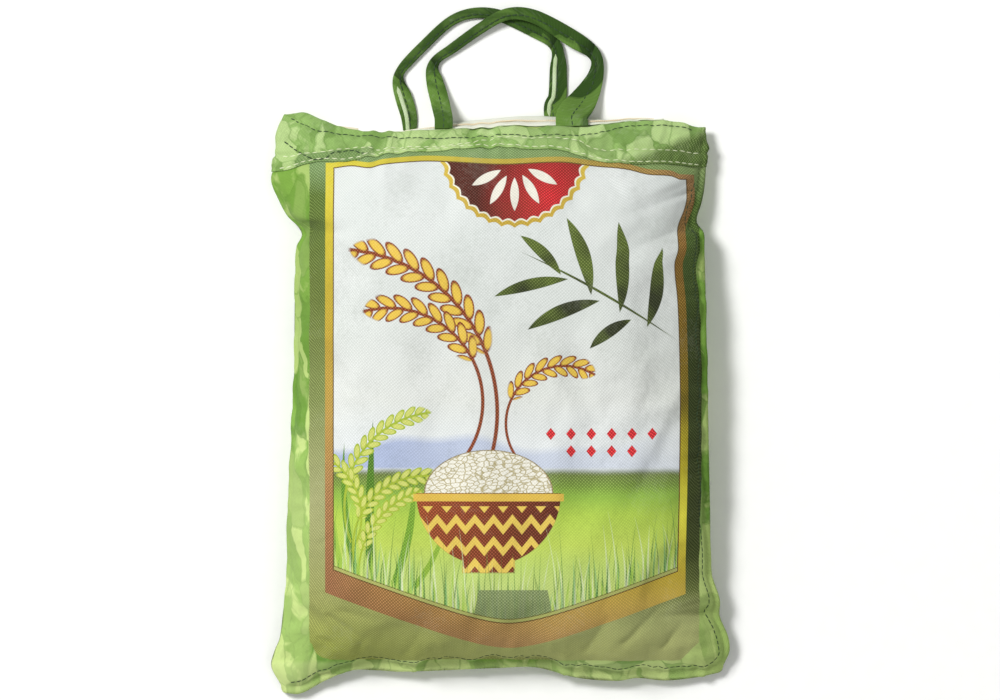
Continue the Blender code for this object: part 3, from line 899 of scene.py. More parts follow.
@dataclass
class Zip:
    """The zip's tape and closed coil across the mouth, and its slider at the shut end."""

    tape_end: float = 0.84
    tape_band: tuple[float, float] = (0.12, 0.96)
    coil_ends: tuple[float, float] = (-0.7, 0.79)
    coil_band: tuple[float, float] = (0.36, 0.56)
    tape_gap: float = 0.9
    tape_thickness: float = 0.8
    tooth_pitch: float = 1.35
    tooth_size: tuple[float, float, float] = (0.46, 1.25, 0.55)
    tooth_foot: float = 2.25
    tooth_lean: float = 0.35
    tooth_apart: float = 0.62
    cord_rise: float = 0.25
    tape_waves: float = 0.16

    def over(self, across: Array, share: Array, distance: float) -> Array:
        """Points out from the closed mouth, at a share of its height."""
        return SHAPE.mouth_wall(across, share) + SHAPE.mouth_out(across) * np.asarray(distance)[..., None]

    def build_tape(self) -> Piece:
        """Makes the woven tape, a little thicker in a cord along each edge."""
        columns = np.linspace(-self.tape_end, self.tape_end, 161)
        rows = np.linspace(0.0, 1.0, 15)

        def far(across: Array, side: Array) -> Array:
            """Outer face."""
            share = mix(*self.tape_band, side)
            thick = self.tape_thickness + self.cord_rise * np.exp(-(((side - 0.04) / 0.05) ** 2))
            thick = thick + self.tape_waves * ripple(across * SHAPE.half_width, side * 9.0, 15.0, 31)
            return self.over(across, share, self.tape_gap + thick)

        def near(across: Array, side: Array) -> Array:
            """Inner face."""
            return self.over(across, mix(*self.tape_band, side), self.tape_gap + 0 * side)

        self.tape = slab("zip_tape_cloth", columns, rows, far, near)
        return self.tape

    def build_coil(self) -> Piece:
        """Makes the two rows of turns that mesh along the middle of the tape."""
        fine = np.linspace(*self.coil_ends, 1201)
        middle = sum(self.coil_band) / 2
        path = self.over(fine, middle + 0 * fine, self.tooth_foot)
        out = SHAPE.mouth_out(fine)
        route = Route(path, out)
        bm = bmesh.new()
        for i, (centre, run, up) in enumerate(route.places(self.tooth_pitch / 2)):
            across = np.cross(up, run)
            sign = 1 if i % 2 else -1
            aim = unit(across + run * self.tooth_lean * sign)
            stud(bm, centre + across * self.tooth_apart * sign, aim, up, self.tooth_size)
        self.coil = placed("zip_coil_turns", bm)
        return self.coil

    def dress(self, tape: Material, coil: Material, slider: Material) -> None:
        """Gives the zip its finishes; the slider is the frame's own.

        Args:
            tape: Finish of the tape.
            coil: Finish of the coil.
            slider: Finish of the slider.
        """
        attach(self.tape, tape, "cream_tape", "zip_tape")
        attach(self.coil, coil, "nylon_teeth", "zip_coil")
        repaint(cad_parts["zip_slider"], slider)


class Route:
    """A line over a surface, read at even distances."""

    REACH = 0.6

    def __init__(self, points: Array, outs: Array) -> None:
        """Keeps the line's points, in millimetres, and the directions out of the surface.

        Args:
            points: The line's points.
            outs: Directions out of the surface.
        """
        self.points, self.outs = points, outs
        steps = np.linalg.norm(np.diff(points, axis=0), axis=1)
        self.distances = np.concatenate(([0.0], np.cumsum(steps)))

    def read(self, at: Array) -> tuple[Array, Array, Array]:
        """Points, directions along and directions out at distances from the start.

        Args:
            at: Distances.

        Returns:
            The points, the unit directions along the line and the unit directions out.
        """
        point, out = self.track(self.points, at), self.track(self.outs, at)
        run = unit(self.track(self.points, at + self.REACH) - self.track(self.points, at - self.REACH))
        return point, run, unit(out - run * np.sum(out * run, axis=-1, keepdims=True))

    def track(self, values: Array, at: Array) -> Array:
        """Vectors read at distances from the start."""
        return np.stack([np.interp(at, self.distances, values[:, k]) for k in range(3)], -1)

    def places(self, pitch: float) -> list[tuple[Array, Array, Array]]:
        """Every pitch along the line: point, direction along and direction out.

        Args:
            pitch: Distance from one to the next.

        Returns:
            A point and two directions for each place.
        """
        count = max(int(self.distances[-1] / pitch), 1)
        at = (np.arange(count) + 0.5) * self.distances[-1] / count
        return list(zip(*self.read(at)))


def stud(
    bm: BMesh, centre: Array, run: Array, up: Array, size: Sequence[float]
) -> None:
    """Adds one small rounded stitch or tooth.

    Args:
        bm: The bmesh to add to, in metres.
        centre: Its middle.
        run: Unit direction of its length.
        up: Unit direction out of the surface.
        size: Half its width, length and height.
    """
    up = unit(up - run * np.dot(up, run))
    axes = np.column_stack((np.cross(run, up) * size[0], run * size[1], up * size[2])) * MM
    matrix = Matrix(axes.tolist()).to_4x4()
    matrix.translation = Vector(centre * MM)
    bmesh.ops.create_uvsphere(bm, u_segments=6, v_segments=4, radius=1.0, matrix=matrix)


@dataclass
class StitchLine:
    """One run of stitches over a surface."""

    route: Route
    pitch: float
    length: float
    thick: float = 0.42
    lift: float = 0.1
    unevenness: float = 0.3

    def sew(self, bm: BMesh, seed: int) -> None:
        """Adds the stitches to a bmesh, each a little out of line.

        Args:
            bm: The bmesh, in metres.
            seed: Which pattern of unevenness.
        """
        draw = np.random.default_rng(seed)
        for centre, run, up in self.route.places(self.pitch):
            side, along = np.cross(up, run), draw.normal(0.0, self.unevenness, 2)
            aim = unit(run + side * 0.12 * along[0])
            middle = centre + up * self.lift + side * 0.25 * along[1]
            size = (self.thick, self.length / 2 * (1 + 0.15 * along[0]), self.thick * 0.8)
            stud(bm, middle, aim, up, size)


@dataclass
class Strap:
    """One cloth carrying loop, lofted from root to root."""

    name: str
    node: str
    panel: Panel
    roots: tuple[tuple[float, float], tuple[float, float]]
    path: Table
    widths: Table
    creases: Table
    stations: int = 520
    corners: int = 40
    cloth: float = 1.6
    folded: float = 3.4
    folds_below: float = 14.0
    lead: float = 8.0
    root_gap: float = 0.6
    groove_shift: float = -0.34
    uneven: float = 0.12
    band_middle: float = 1.2
    crease_rise: float = 1.3
    lips_at: Table = ((0.0, 0.155, 0.3), (0.80, 1.0, -0.42))
    lip_width: float = 3.0
    lip_height: float = 0.7
    lip_corners: int = 8

    def root_of(self, across: float, width: float) -> tuple[Array, Array, Array]:
        """Where the strap leaves its band's edge.

        Args:
            across: Place between the two rims.
            width: Width of the strap there.

        Returns:
            The centre, a point a little further on, and the sideways direction.
        """
        reach = width / 2 / SHAPE.half_width
        a, t = np.array([across, across, across + reach, across - reach]), np.array([1.0, 0.975, 1.0, 1.0])
        raised = self.panel.skin(a, t) + self.panel.out(a, t) * self.band_middle
        end, before, right, left = raised
        run = unit(end - before)
        centre = end + run * self.root_gap
        ahead = centre + unit(run + np.array((0.0, 1.6 * run[1], 0.0))) * self.lead
        return centre, ahead, unit(right - left)

    def lay(self) -> None:
        """Works out the strap's middle line, directions, widths and thicknesses."""
        first, last = (self.root_of(across, width) for across, width in self.roots)
        points = np.array([first[0], first[1], *self.path, last[1], last[0]])
        places = np.concatenate(([0.0], np.cumsum(np.linalg.norm(np.diff(points, axis=0), axis=1))))
        steps = np.linspace(0, places[-1], self.stations)
        tracks = [curve(np.column_stack((places, points[:, k])), steps) for k in range(3)]
        self.centres = np.stack(tracks, -1)
        self.share = np.linspace(0, 1, self.stations)
        runs = unit(np.gradient(self.centres, axis=0))
        sides = unit(np.cross((0.0, 0.0, 1.0), runs))
        near_first, near_last = 1 - ramp(self.share, 0.0, 0.03), ramp(self.share, 0.97, 1.0)
        sides = mix(sides, -first[2], near_first[:, None])
        self.sides = unit(mix(sides, last[2], near_last[:, None]))
        self.ups = unit(np.cross(runs, self.sides))
        self.width = curve(self.widths, self.share)
        easing = np.clip(np.minimum(self.share, 1 - self.share) / 0.1, 0, 1)
        self.fold = np.clip((self.folds_below - self.width) / 6.0, 0, 1) * easing
        self.thick = mix(self.cloth, self.folded, self.fold)

    def profile(self, turn: Array, fold: float) -> tuple[Array, Array]:
        """Section of the strap: two lips of cloth with the stitched groove between them.

        Args:
            turn: Angles round the section.
            fold: How far the strap is folded narrow, from 0 to 1.

        Returns:
            Sideways and upward places, as shares of half the width and half the thickness.
        """
        wide = np.copysign(np.abs(np.cos(turn)) ** 0.6, np.cos(turn))
        high = np.copysign(np.abs(np.sin(turn)) ** 0.5, np.sin(turn))
        groove = np.exp(-(((wide - self.groove(fold)) / mix(0.13, 0.24, fold)) ** 2))
        return wide, high * (1 - mix(0.45, 0.3, fold) * groove)

    def groove(self, fold: float) -> float:
        """Where the stitched groove runs, as a share of half the width."""
        return mix(0.0, self.groove_shift, fold)

    def stepped(self, points: Array) -> Array:
        """How far each leg stands over the arc, where the strap is creased.

        Args:
            points: Points on the strap.

        Returns:
            Heights.
        """
        rise = np.zeros(points.shape[:-1])
        for x0, y0, x1, y1 in self.creases:
            x, y, run = points[..., 0], points[..., 1], math.hypot(x1 - x0, y1 - y0)
            past = ((x1 - x0) * (y - y0) - (y1 - y0) * (x - x0)) / run
            away = np.hypot(x - (x0 + x1) / 2, y - (y0 + y1) / 2)
            rise += self.crease_rise * ramp(past, 0.0, 0.5) * (1 - ramp(away, 8.0, 30.0))
        return rise

    def build(self) -> Piece:
        """Makes the strap, its ends closed."""
        self.lay()
        turn = 2 * math.pi * (np.arange(self.corners) + 0.5) / self.corners
        rings = []
        for i, centre in enumerate(self.centres):
            wide, high = self.profile(turn, self.fold[i])
            across = self.sides[i] * (wide * self.width[i] / 2)[:, None]
            rings.append(centre + across + self.ups[i] * (high * self.thick[i] / 2)[:, None])
        rings = np.array(rings)
        ends = np.clip(np.minimum(self.share, 1 - self.share) / 0.04, 0, 1)[:, None]
        rings[..., 2] += self.uneven * ends * ripple(rings[..., 0], rings[..., 1], 13.0, 41)
        rings[..., 2] += np.where(np.sin(turn) > 0, self.stepped(rings), 0.0)
        self.piece = tube(self.name, rings)
        return self.piece

    def seam(self) -> StitchLine:
        """The stitches down the strap's groove, on its upper face."""
        place = np.array([self.groove(fold) for fold in self.fold]) * self.width / 2
        height = self.thick / 2 * mix(0.62, 0.74, self.fold)
        line = self.centres + self.sides * place[:, None] + self.ups * height[:, None]
        line[:, 2] += self.stepped(line)
        return StitchLine(Route(line, self.ups), pitch=4.4, length=4.3, thick=0.55)

    def build_lips(self) -> list[Piece]:
        """Makes the pale lip of turned-in cloth that shows along each leg.

        Returns:
            One closed ribbon for each leg.
        """
        self.lips = []
        turn = 2 * math.pi * (np.arange(self.lip_corners) + 0.5) / self.lip_corners
        high = np.sin(turn) * (self.lip_height / 2)
        for side, (first, last, place) in zip(("left", "right"), self.lips_at):
            near = (self.share >= first) & (self.share <= last)
            share = (self.share[near] - first) / (last - first)
            half = self.lip_width / 2 * np.clip(np.minimum(share, 1 - share) * 12, 0.25, 1)
            middle = self.centres[near] + self.sides[near] * (place * self.width[near] / 2)[:, None]
            middle = middle + self.ups[near] * (self.thick[near] / 2 + 0.1)[:, None]
            middle[:, 2] += self.stepped(middle)
            rings = [
                centre + sideways * (np.cos(turn) * reach)[:, None] + up * high[:, None]
                for centre, sideways, up, reach in zip(middle, self.sides[near], self.ups[near], half)
            ]
            self.lips.append(tube(f"{self.name}_lip_{side}", np.array(rings)))
        return self.lips

    def dress(self, finish: Material) -> None:
        """Gives the strap its cloth."""
        attach(self.piece, finish, "handle_cloth", self.node)

    def dress_lips(self, finish: Material) -> None:
        """Gives the turned-in lips their paler cloth."""
        for lip in self.lips:
            attach(lip, finish, "handle_cloth")


class Straps:
    """The two carrying loops, as the construction has them."""

    FRONT_ROOTS = ((-0.27, 12.6), (0.378, 23.0))
    FRONT_PATH: Table = (
        (-43, 204, 13), (-45, 212.5, 6), (-47.8, 222.9, 3.1), (-49.5, 232, 3),
        (-46.6, 238.8, 2.9), (-36.4, 246, 2.8), (-16.1, 260.4, 5), (0, 269.5, 7.4),
        (12, 271, 7.6), (26, 267, 7.7), (50.4, 252.4, 6.2), (62, 244.8, 3.6),
        (66, 238, 3.2), (65.4, 229, 3), (61.8, 219.6, 4.4), (56, 209.5, 10.6),
    )
    FRONT_WIDTHS: Table = (
        (0, 12.6), (0.125, 13), (0.17, 11.8), (0.207, 8.5), (0.236, 6.6), (0.3, 7.4),
        (0.45, 8.2), (0.568, 10), (0.68, 12.2), (0.737, 9.6), (0.77, 8.6), (0.81, 11.4),
        (0.85, 15.5), (0.9, 19.5), (1, 23),
    )
    FRONT_CREASES: Table = ((-44.9, 230.7, -50.2, 238.2), (65.0, 249.5, 61.3, 239.3))
    BACK_CREASES: Table = ((-70.0, 222.1, -75.9, 227.5), (38.7, 254.3, 34.4, 246.8))
    BACK_ROOTS = ((-0.444, 8.4), (0.284, 13.0))
    BACK_PATH: Table = (
        (-66.4, 201, 1.8), (-70, 213, 1.8), (-73, 221.5, 2.1), (-73.1, 228, 2.3),
        (-69.2, 234.4, 2.3), (-54.8, 249.4, 2.2), (-38.5, 264.4, 2.2), (-26.6, 270.2, 2.2),
        (-12.6, 271.6, 2.2), (1.4, 268.4, 2.2), (25.9, 257.4, 2.2), (34.6, 251.4, 2.2),
        (38.4, 244.6, 2.1), (38.8, 230, 1.8), (38, 212, 1.7),
    )
    BACK_WIDTHS: Table = (
        (0, 8.4), (0.04, 10.8), (0.09, 12), (0.13, 11.4), (0.165, 8.8), (0.195, 6.6),
        (0.24, 7.2), (0.42, 7.2), (0.55, 8), (0.7, 10.2), (0.76, 9), (0.8, 8.8), (0.845, 12),
        (1, 13),
    )


@dataclass
class Sewing:
    """All the thread that shows, by colour."""

    front: Band
    back: Band
    straps: tuple[Strap, Strap]

    def on_band(self, band: Band, line: Table, first: float, last: float) -> Route:
        """A seam's line over a band.

        Args:
            band: The band.
            line: Depth below the mouth by place across.
            first: Place across where the line starts.
            last: Place where it ends.

        Returns:
            The line on the band's outer face.
        """
        across = np.linspace(first, last, 1500)
        depth = curve(line, across)
        points = band.surface(across, depth, band.outside(across, depth))
        return Route(points, band.panel.out(across, 1 - depth / SHAPE.length))

    def round_rim(self) -> Route:
        """The line along the hem, round the corner and up the right side."""
        hem = np.linspace(-0.97, 0.955, 900)
        corner = np.linspace(0, math.pi / 2, 120)
        side = np.linspace(0.03, 0.9, 1000)
        across = np.concatenate((hem, 0.955 + 0.03 * np.sin(corner), 0.985 + 0 * side))
        along = np.concatenate((0.006 + 0 * hem, 0.03 - 0.024 * np.cos(corner), side))
        return Route(SHAPE.front(across, along), Panel.FRONT.out(across, along))

    def build(self) -> list[Piece]:
        """Makes the cream and the dark green thread."""
        cream, dark = bmesh.new(), bmesh.new()
        rows = (
            (self.front, BandSeams.UPPER_ROW, -0.99, 0.995),
            (self.front, BandSeams.LOWER_ROW, -0.99, 0.995),
            (self.back, BandSeams.BACK_ROW, -0.99, 0.99),
        )
        for seed, row in enumerate(rows):
            StitchLine(self.on_band(*row), pitch=5.8, length=4.8, thick=0.4).sew(cream, seed)
        lines = (
            (self.front, BandSeams.TOP_LINE, -0.985, 0.97),
            (self.front, BandSeams.EAR_LINE, -0.985, -0.66),
            (self.back, BandSeams.BACK_LINE, -0.97, 0.97),
        )
        for seed, line in enumerate(lines):
            StitchLine(self.on_band(*line), pitch=4.6, length=4.4, thick=0.5).sew(dark, 10 + seed)
        StitchLine(self.round_rim(), pitch=4.2, length=3.9, thick=0.42).sew(dark, 20)
        for seed, strap in enumerate(self.straps):
            strap.seam().sew(dark, 30 + seed)
        self.cream, self.dark = placed("cream_stitches", cream), placed("green_stitches", dark)
        return [self.cream, self.dark]

    def dress(self, cream: Material, dark: Material) -> None:
        """Gives each thread its finish."""
        attach(self.cream, cream, "leaf_green_cloth")
        attach(self.dark, dark, "handle_cloth")


class Field:
    """A value or colour that changes over a surface: one output of a shader node.

    Of two distances or masks, & takes the lower, where both hold, and | the higher, where either
    does.
    """

    def __init__(self, graph: "Graph", socket: NodeSocket) -> None:
        """Keeps the graph and the output."""
        self.graph, self.socket = graph, socket

    def math(self, operation: str, *others: "Value", clamp: bool = False) -> "Field":
        """Result of a maths node on this value and others.

        Args:
            operation: The node's operation.
            others: Its other inputs.
            clamp: Whether the result is kept between 0 and 1.

        Returns:
            The result.
        """
        node = self.graph.node("Math", operation=operation, use_clamp=clamp)
        for slot, value in zip(node.inputs, (self, *others)):
            self.graph.feed(slot, value)
        return Field(self.graph, node.outputs[0])

    def __rsub__(self, other: float) -> "Field":
        """Difference from a number."""
        return self.math("MULTIPLY_ADD", -1.0, other)

    __add__ = partialmethod(math, "ADD")
    __sub__ = partialmethod(math, "SUBTRACT")
    __mul__ = partialmethod(math, "MULTIPLY")
    __truediv__ = partialmethod(math, "DIVIDE")
    __and__ = partialmethod(math, "MINIMUM")
    __or__ = partialmethod(math, "MAXIMUM")

    def size(self) -> "Field":
        """Value without its sign."""
        return self.math("ABSOLUTE")

    def wave(self, length: float) -> "Field":
        """Sine of the value, with a wavelength."""
        return (self * (2 * math.pi / length)).math("SINE")

    def repeat(self, pitch: "Value") -> "Field":
        """Offset from the middle of the nearest cell of a row."""
        return (self / pitch).math("FRACT") - 0.5

    def over(self, limit: float = 0.0, soft: float = 0.35) -> "Field":
        """Mask that is 1 where the value is over a limit, with a soft edge."""
        return self.math("MULTIPLY_ADD", 1 / soft, 0.5 - limit / soft, clamp=True)


Value = Field | float | tuple | str


class Graph:
    """Nodes of one material or shader group, wired as they are made."""

    def __init__(self, tree: NodeTree) -> None:
        """Keeps the node tree."""
        self.tree = tree

    def feed(self, socket: NodeSocket, value: Value) -> None:
        """Links or sets an input; a colour may be given by its code.

        Args:
            socket: The input.
            value: What goes into it.
        """
        if isinstance(value, Field):
            self.tree.links.new(value.socket, socket)
        elif socket.type == "RGBA":
            socket.default_value = (*(linear(value) if isinstance(value, str) else value), 1.0)
        else:
            socket.default_value = value

    def node(self, kind: str, inputs: dict[str, Value] | None = None, **settings: object) -> Node:
        """Adds a node.

        Args:
            kind: Its type, without the common start of the name.
            inputs: Values of its inputs, by name.
            settings: Its settings.

        Returns:
            The node.
        """
        made = self.tree.nodes.new("ShaderNode" + kind)
        for name, value in settings.items():
            setattr(made, name, value)
        for name, value in (inputs or {}).items():
            self.feed(made.inputs[name], value)
        return made

    def map(self, kind: "Map") -> Field:
        """Place on one of the piece's own UV maps."""
        return Field(self, self.node("UVMap", uv_map=kind.value).outputs["UV"])

    def on_piece(self) -> Field:
        """Place on the piece, in metres."""
        return Field(self, self.node("TexCoord").outputs["Object"])

    def split(self, vector: Field) -> tuple[Field, Field]:
        """First two parts of a vector."""
        parts = self.node("SeparateXYZ", {"Vector": vector}).outputs
        return Field(self, parts["X"]), Field(self, parts["Y"])

    def join(self, x: Value, y: Value) -> Field:
        """Vector from two values."""
        return Field(self, self.node("CombineXYZ", {"X": x, "Y": y}).outputs[0])

    def vector(self, operation: str, *values: Value, output: str = "Vector") -> Field:
        """Result of a vector maths node on values.

        Args:
            operation: The node's operation.
            values: Its inputs.
            output: Which output is read.

        Returns:
            The result.
        """
        node = self.node("VectorMath", operation=operation)
        for slot, value in zip(node.inputs, values):
            self.feed(slot, value)
        return Field(self, node.outputs[output])

    def distance(self, point: Field, x: float, y: float) -> Field:
        """Distance of a point from a place."""
        return self.vector("DISTANCE", point, (x, y, 0.0), output="Value")

    def noise(self, vector: Field, scale: float, detail: float = 2.0, distortion: float = 0.0) -> Field:
        """Cloudy values from 0 to 1."""
        inputs = {"Vector": vector, "Scale": scale, "Detail": detail, "Distortion": distortion}
        return Field(self, self.node("TexNoise", inputs).outputs[0])

    def cells(self, vector: Field, scale: float, feature: str = "F1", output: str = "Distance") -> Field:
        """Voronoi cells."""
        node = self.node("TexVoronoi", {"Vector": vector, "Scale": scale}, feature=feature)
        return Field(self, node.outputs[output])

    def blend(self, share: Value, low: Value, high: Value, how: str = "MIX") -> Field:
        """Colour between two colours.

        Args:
            share: How much of the second colour shows.
            low: First colour.
            high: Second colour.
            how: How they are mixed.

        Returns:
            The colour.
        """
        node = self.node("Mix", data_type="RGBA", blend_type=how)
        for index, value in ((0, share), (6, low), (7, high)):
            self.feed(node.inputs[index], value)
        return Field(self, node.outputs[2])

    def ramp(self, value: Field, stops: Sequence[tuple[float, str]]) -> Field:
        """Colour from a row of colours.

        Args:
            value: Where on the row.
            stops: Place and colour code of each.

        Returns:
            The colour.
        """
        node = self.node("ValToRGB", {"Fac": value})
        row = node.color_ramp
        while len(row.elements) < len(stops):
            row.elements.new(0.5)
        for element, (place, code) in zip(row.elements, stops):
            element.position = place
            element.color = (*linear(code), 1.0)
        return Field(self, node.outputs["Color"])

    def group(self, shared: "SharedEffect", **inputs: Value) -> Fields:
        """Places a shared effect.

        Args:
            shared: The effect.
            inputs: Its inputs, by name with _ for a space.

        Returns:
            Its outputs, by name.
        """
        node = self.node("Group")
        node.node_tree = shared.tree()
        for name, value in inputs.items():
            self.feed(node.inputs[name.replace("_", " ")], value)
        return {output.name: Field(self, output) for output in node.outputs}


def linear(code: str) -> Colour:
    """Linear red, green and blue of a colour code such as #80A040."""
    parts = [int(code[i : i + 2], 16) / 255 for i in (1, 3, 5)]
    return tuple(part / 12.92 if part <= 0.04045 else ((part + 0.055) / 1.055) ** 2.4 for part in parts)


ORIGIN = ("Vector", (0.0, 0.0, 0.0))


def floats(**values: float) -> dict[str, tuple[str, float]]:
    """Plain number inputs of a shared effect, by name."""
    return {name: ("Float", value) for name, value in values.items()}


class SharedEffect:
    """A shader node group, built once and placed in each material that uses it."""

    NAME = ""
    INPUTS: dict[str, tuple[str, Value]] = {}
    OUTPUTS: dict[str, str] = {}

    @classmethod
    def tree(cls) -> NodeTree:
        """The group, made at its first use."""
        made = bpy.data.node_groups.get(cls.NAME)
        if made:
            return made
        made = bpy.data.node_groups.new(cls.NAME, "ShaderNodeTree")
        for name, (kind, value) in cls.INPUTS.items():
            socket = made.interface.new_socket(name=name, in_out="INPUT", socket_type="NodeSocket" + kind)
            socket.default_value = (*value, 1.0) if kind == "Color" else value
        for name, kind in cls.OUTPUTS.items():
            made.interface.new_socket(name=name, in_out="OUTPUT", socket_type="NodeSocket" + kind)
        graph = Graph(made)
        start = made.nodes.new("NodeGroupInput")
        end = made.nodes.new("NodeGroupOutput")
        for name, value in cls.wire(graph, {s.name: Field(graph, s) for s in start.outputs}).items():
            graph.feed(end.inputs[name], value)
        return made

    @classmethod
    def wire(cls, graph: Graph, given: Fields) -> Fields:
        """Wires the effect, from its inputs to its outputs by name."""
        raise NotImplementedError


class Twill(SharedEffect):
    """Diagonal weave of the coarse cloth, with the pale flecks that its yarns leave in dark ink."""

    NAME = "twill"
    INPUTS = {"Place": ORIGIN} | floats(Pitch=0.0023)
    OUTPUTS = {"Height": "Float", "Flecks": "Float"}

    @classmethod
    def wire(cls, graph: Graph, given: Fields) -> Fields:
        """Crosses steep ribs with flatter ones.

        Args:
            graph: The group's nodes.
            given: Its inputs, by name.

        Returns:
            Its outputs, by name.
        """
        wobble = graph.noise(given["Place"], 60.0, 1.0) * 0.0012
        x, y = graph.split(given["Place"])
        ribs = ((x + y + wobble) / given["Pitch"]).wave(1.0)
        cross = ((x - y * 0.96 + wobble) / given["Pitch"]).wave(1.0)
        yarns = graph.noise(graph.join(x * 0.25, y), 900.0, 2.0)
        height = ribs * 0.5 + cross * 0.3 + yarns * 0.5
        flecks = (ribs + cross * 0.9 + yarns * 0.8).over(0.95, 1.1)
        return {"Height": height, "Flecks": flecks}


class LeafPattern(SharedEffect):
    """Overlapping pale leaves on green, as printed all over the plain cloth."""

    NAME = "leaf_pattern"
    INPUTS = {
        "Place": ORIGIN,
        "Light": ("Color", (0.4, 0.6, 0.2)),
        "Middle": ("Color", (0.25, 0.45, 0.12)),
        "Deep": ("Color", (0.12, 0.28, 0.06)),
        "Size": ("Float", 0.02),
    }
    OUTPUTS = {"Colour": "Color"}

    @classmethod
    def wire(cls, graph: Graph, given: Fields) -> Fields:
        """Lays leaves of cells over cloudy patches.

        Args:
            graph: The group's nodes.
            given: Its inputs, by name.

        Returns:
            Its outputs, by name.
        """
        x, y = graph.split(given["Place"])
        x, y = x / given["Size"], y / given["Size"]
        bend = graph.noise(graph.join(x, y), 0.6, 3.0) * 1.5
        place = graph.join(x * 1.1 + y * 0.25 + bend, y * 0.5 - x * 0.12 + bend)
        tone, hue = graph.split(graph.cells(place, 1.0, output="Color"))
        edge = graph.cells(place, 1.0, "DISTANCE_TO_EDGE")
        cloud = graph.noise(graph.join(x, y + 7.0), 0.42, 4.0, 0.9)
        under = graph.blend(cloud.over(0.52, 0.05), given["Middle"], given["Light"])
        shaded = graph.blend((0.40 - cloud).over(0.0, 0.03) * 0.7, under, given["Deep"])
        pale = graph.blend(tone.over(0.62, 0.03) * 0.95, shaded, given["Light"])
        toned = graph.blend(hue.over(0.78, 0.03) * 0.6, pale, given["Deep"])
        rim = (0.035 - edge).over(0.0, 0.02)
        return {"Colour": graph.blend(rim * 0.45, toned, given["Deep"])}


class SoftWear(SharedEffect):
    """Uneven dye, and a little paler or greyer cloth where it is rubbed."""

    NAME = "soft_wear"
    INPUTS = {
        "Place": ORIGIN,
        "Colour": ("Color", (0.5, 0.5, 0.5)),
        "Amount": ("Float", 0.12),
    }
    OUTPUTS = {"Colour": "Color", "Roughness": "Float"}
    SOILED, RUBBED = (0.06, 0.09, 0.03), (0.75, 0.78, 0.66)

    @classmethod
    def wire(cls, graph: Graph, given: Fields) -> Fields:
        """Shades the colour by two sizes of cloud.

        Args:
            graph: The group's nodes.
            given: Its inputs, by name.

        Returns:
            Its outputs, by name.
        """
        broad = graph.noise(given["Place"], 22.0, 3.0)
        fine = graph.noise(given["Place"], 300.0, 2.0)
        shade = broad * 1.3 + fine * 0.7 - 1.0
        darker = graph.blend(shade.over(0.2, 0.4) * given["Amount"] * 2.4, given["Colour"], cls.SOILED)
        lighter = (0.0 - shade).over(0.25, 0.3) * given["Amount"]
        return {
            "Colour": graph.blend(lighter, darker, cls.RUBBED),
            "Roughness": fine * 0.2 + 0.78,
        }


class Grass(SharedEffect):
    """One row of printed grass blades, each of its own height and lean, in millimetres."""

    NAME = "grass_row"
    INPUTS = {"Place": ORIGIN} | floats(Pitch=9.0, Shift=0.0, Foot=0.0, Height=24.0, Width=1.0)
    OUTPUTS = {"Mask": "Float"}

    @classmethod
    def wire(cls, graph: Graph, given: Fields) -> Fields:
        """Bends one blade in each cell of the row.

        Args:
            graph: The group's nodes.
            given: Its inputs, by name.

        Returns:
            Its outputs, by name.
        """
        x, y = graph.split(given["Place"])
        track = x / given["Pitch"] + given["Shift"]
        cell = track.math("FLOOR") + given["Shift"] * 31.7
        node = graph.node("TexWhiteNoise", {"W": cell}, noise_dimensions="1D")
        first, second = graph.split(Field(graph, node.outputs["Color"]))
        rise = (y - given["Foot"]) / (given["Height"] * (first * 0.55 + 0.45))
        lean = (second - 0.5) * 0.8
        offset = rise * rise * lean + (first - 0.5) * 0.25
        away = (track.math("FRACT") - 0.5 - offset).size() * given["Pitch"]
        blade = given["Width"] * (1.0 - rise) - away
        return {"Mask": blade.over(0.0, 0.4) * rise.over(0.0, 0.02) * (1.0 - rise).over(0.0, 0.02)}


class Ear(SharedEffect):
    """A bent ear of rice: grains in two slanting rows along an arc, in millimetres."""

    NAME = "rice_ear"
    INPUTS = {"Place": ORIGIN, "Centre": ORIGIN} | floats(
        Radius=60.0, Middle=1.0, Reach=0.5, Tail=0.5, Side=1.0, Grain=6.0
    )
    OUTPUTS = {"Mask": "Float", "Core": "Float"}

    @classmethod
    def wire(cls, graph: Graph, given: Fields) -> Fields:
        """Repeats a grain along the arc and thins the ear out towards its ends.

        Args:
            graph: The group's nodes.
            given: Its inputs, by name.

        Returns:
            Its outputs, by name.
        """
        x, y = graph.split(graph.vector("SUBTRACT", given["Place"], given["Centre"]))
        radius = (x * x + y * y).math("SQRT")
        turn = (y.math("ARCTAN2", x) - given["Middle"]).math("WRAP", math.pi, -math.pi) * given["Side"]
        away = (radius - given["Radius"]) / given["Grain"]
        side = away.math("SIGN") * 0.25
        along = turn * given["Radius"] / given["Grain"] - away.size() * 0.9 + side
        cell = along.math("FRACT") - 0.5
        spread = (away.size() - 0.42) / 0.46
        shape = 1.0 - (spread * spread + (cell / 0.46).math("POWER", 2.0))
        ends = given["Reach"] - turn.size()
        taper = (ends / given["Reach"]).math("POWER", 0.4) * 1.15 - 0.15
        grains = (shape & (taper * 1.6 - away.size())).over(0.0, 0.18) * ends.over(0.0, 0.02)
        run = (turn + given["Reach"] + given["Tail"]) & (given["Reach"] - turn)
        stem = (0.11 - away.size()).over(0.0, 0.05) * run.over(0.0, 0.02)
        return {"Mask": grains | stem, "Core": shape.over(0.45, 0.35) * grains}


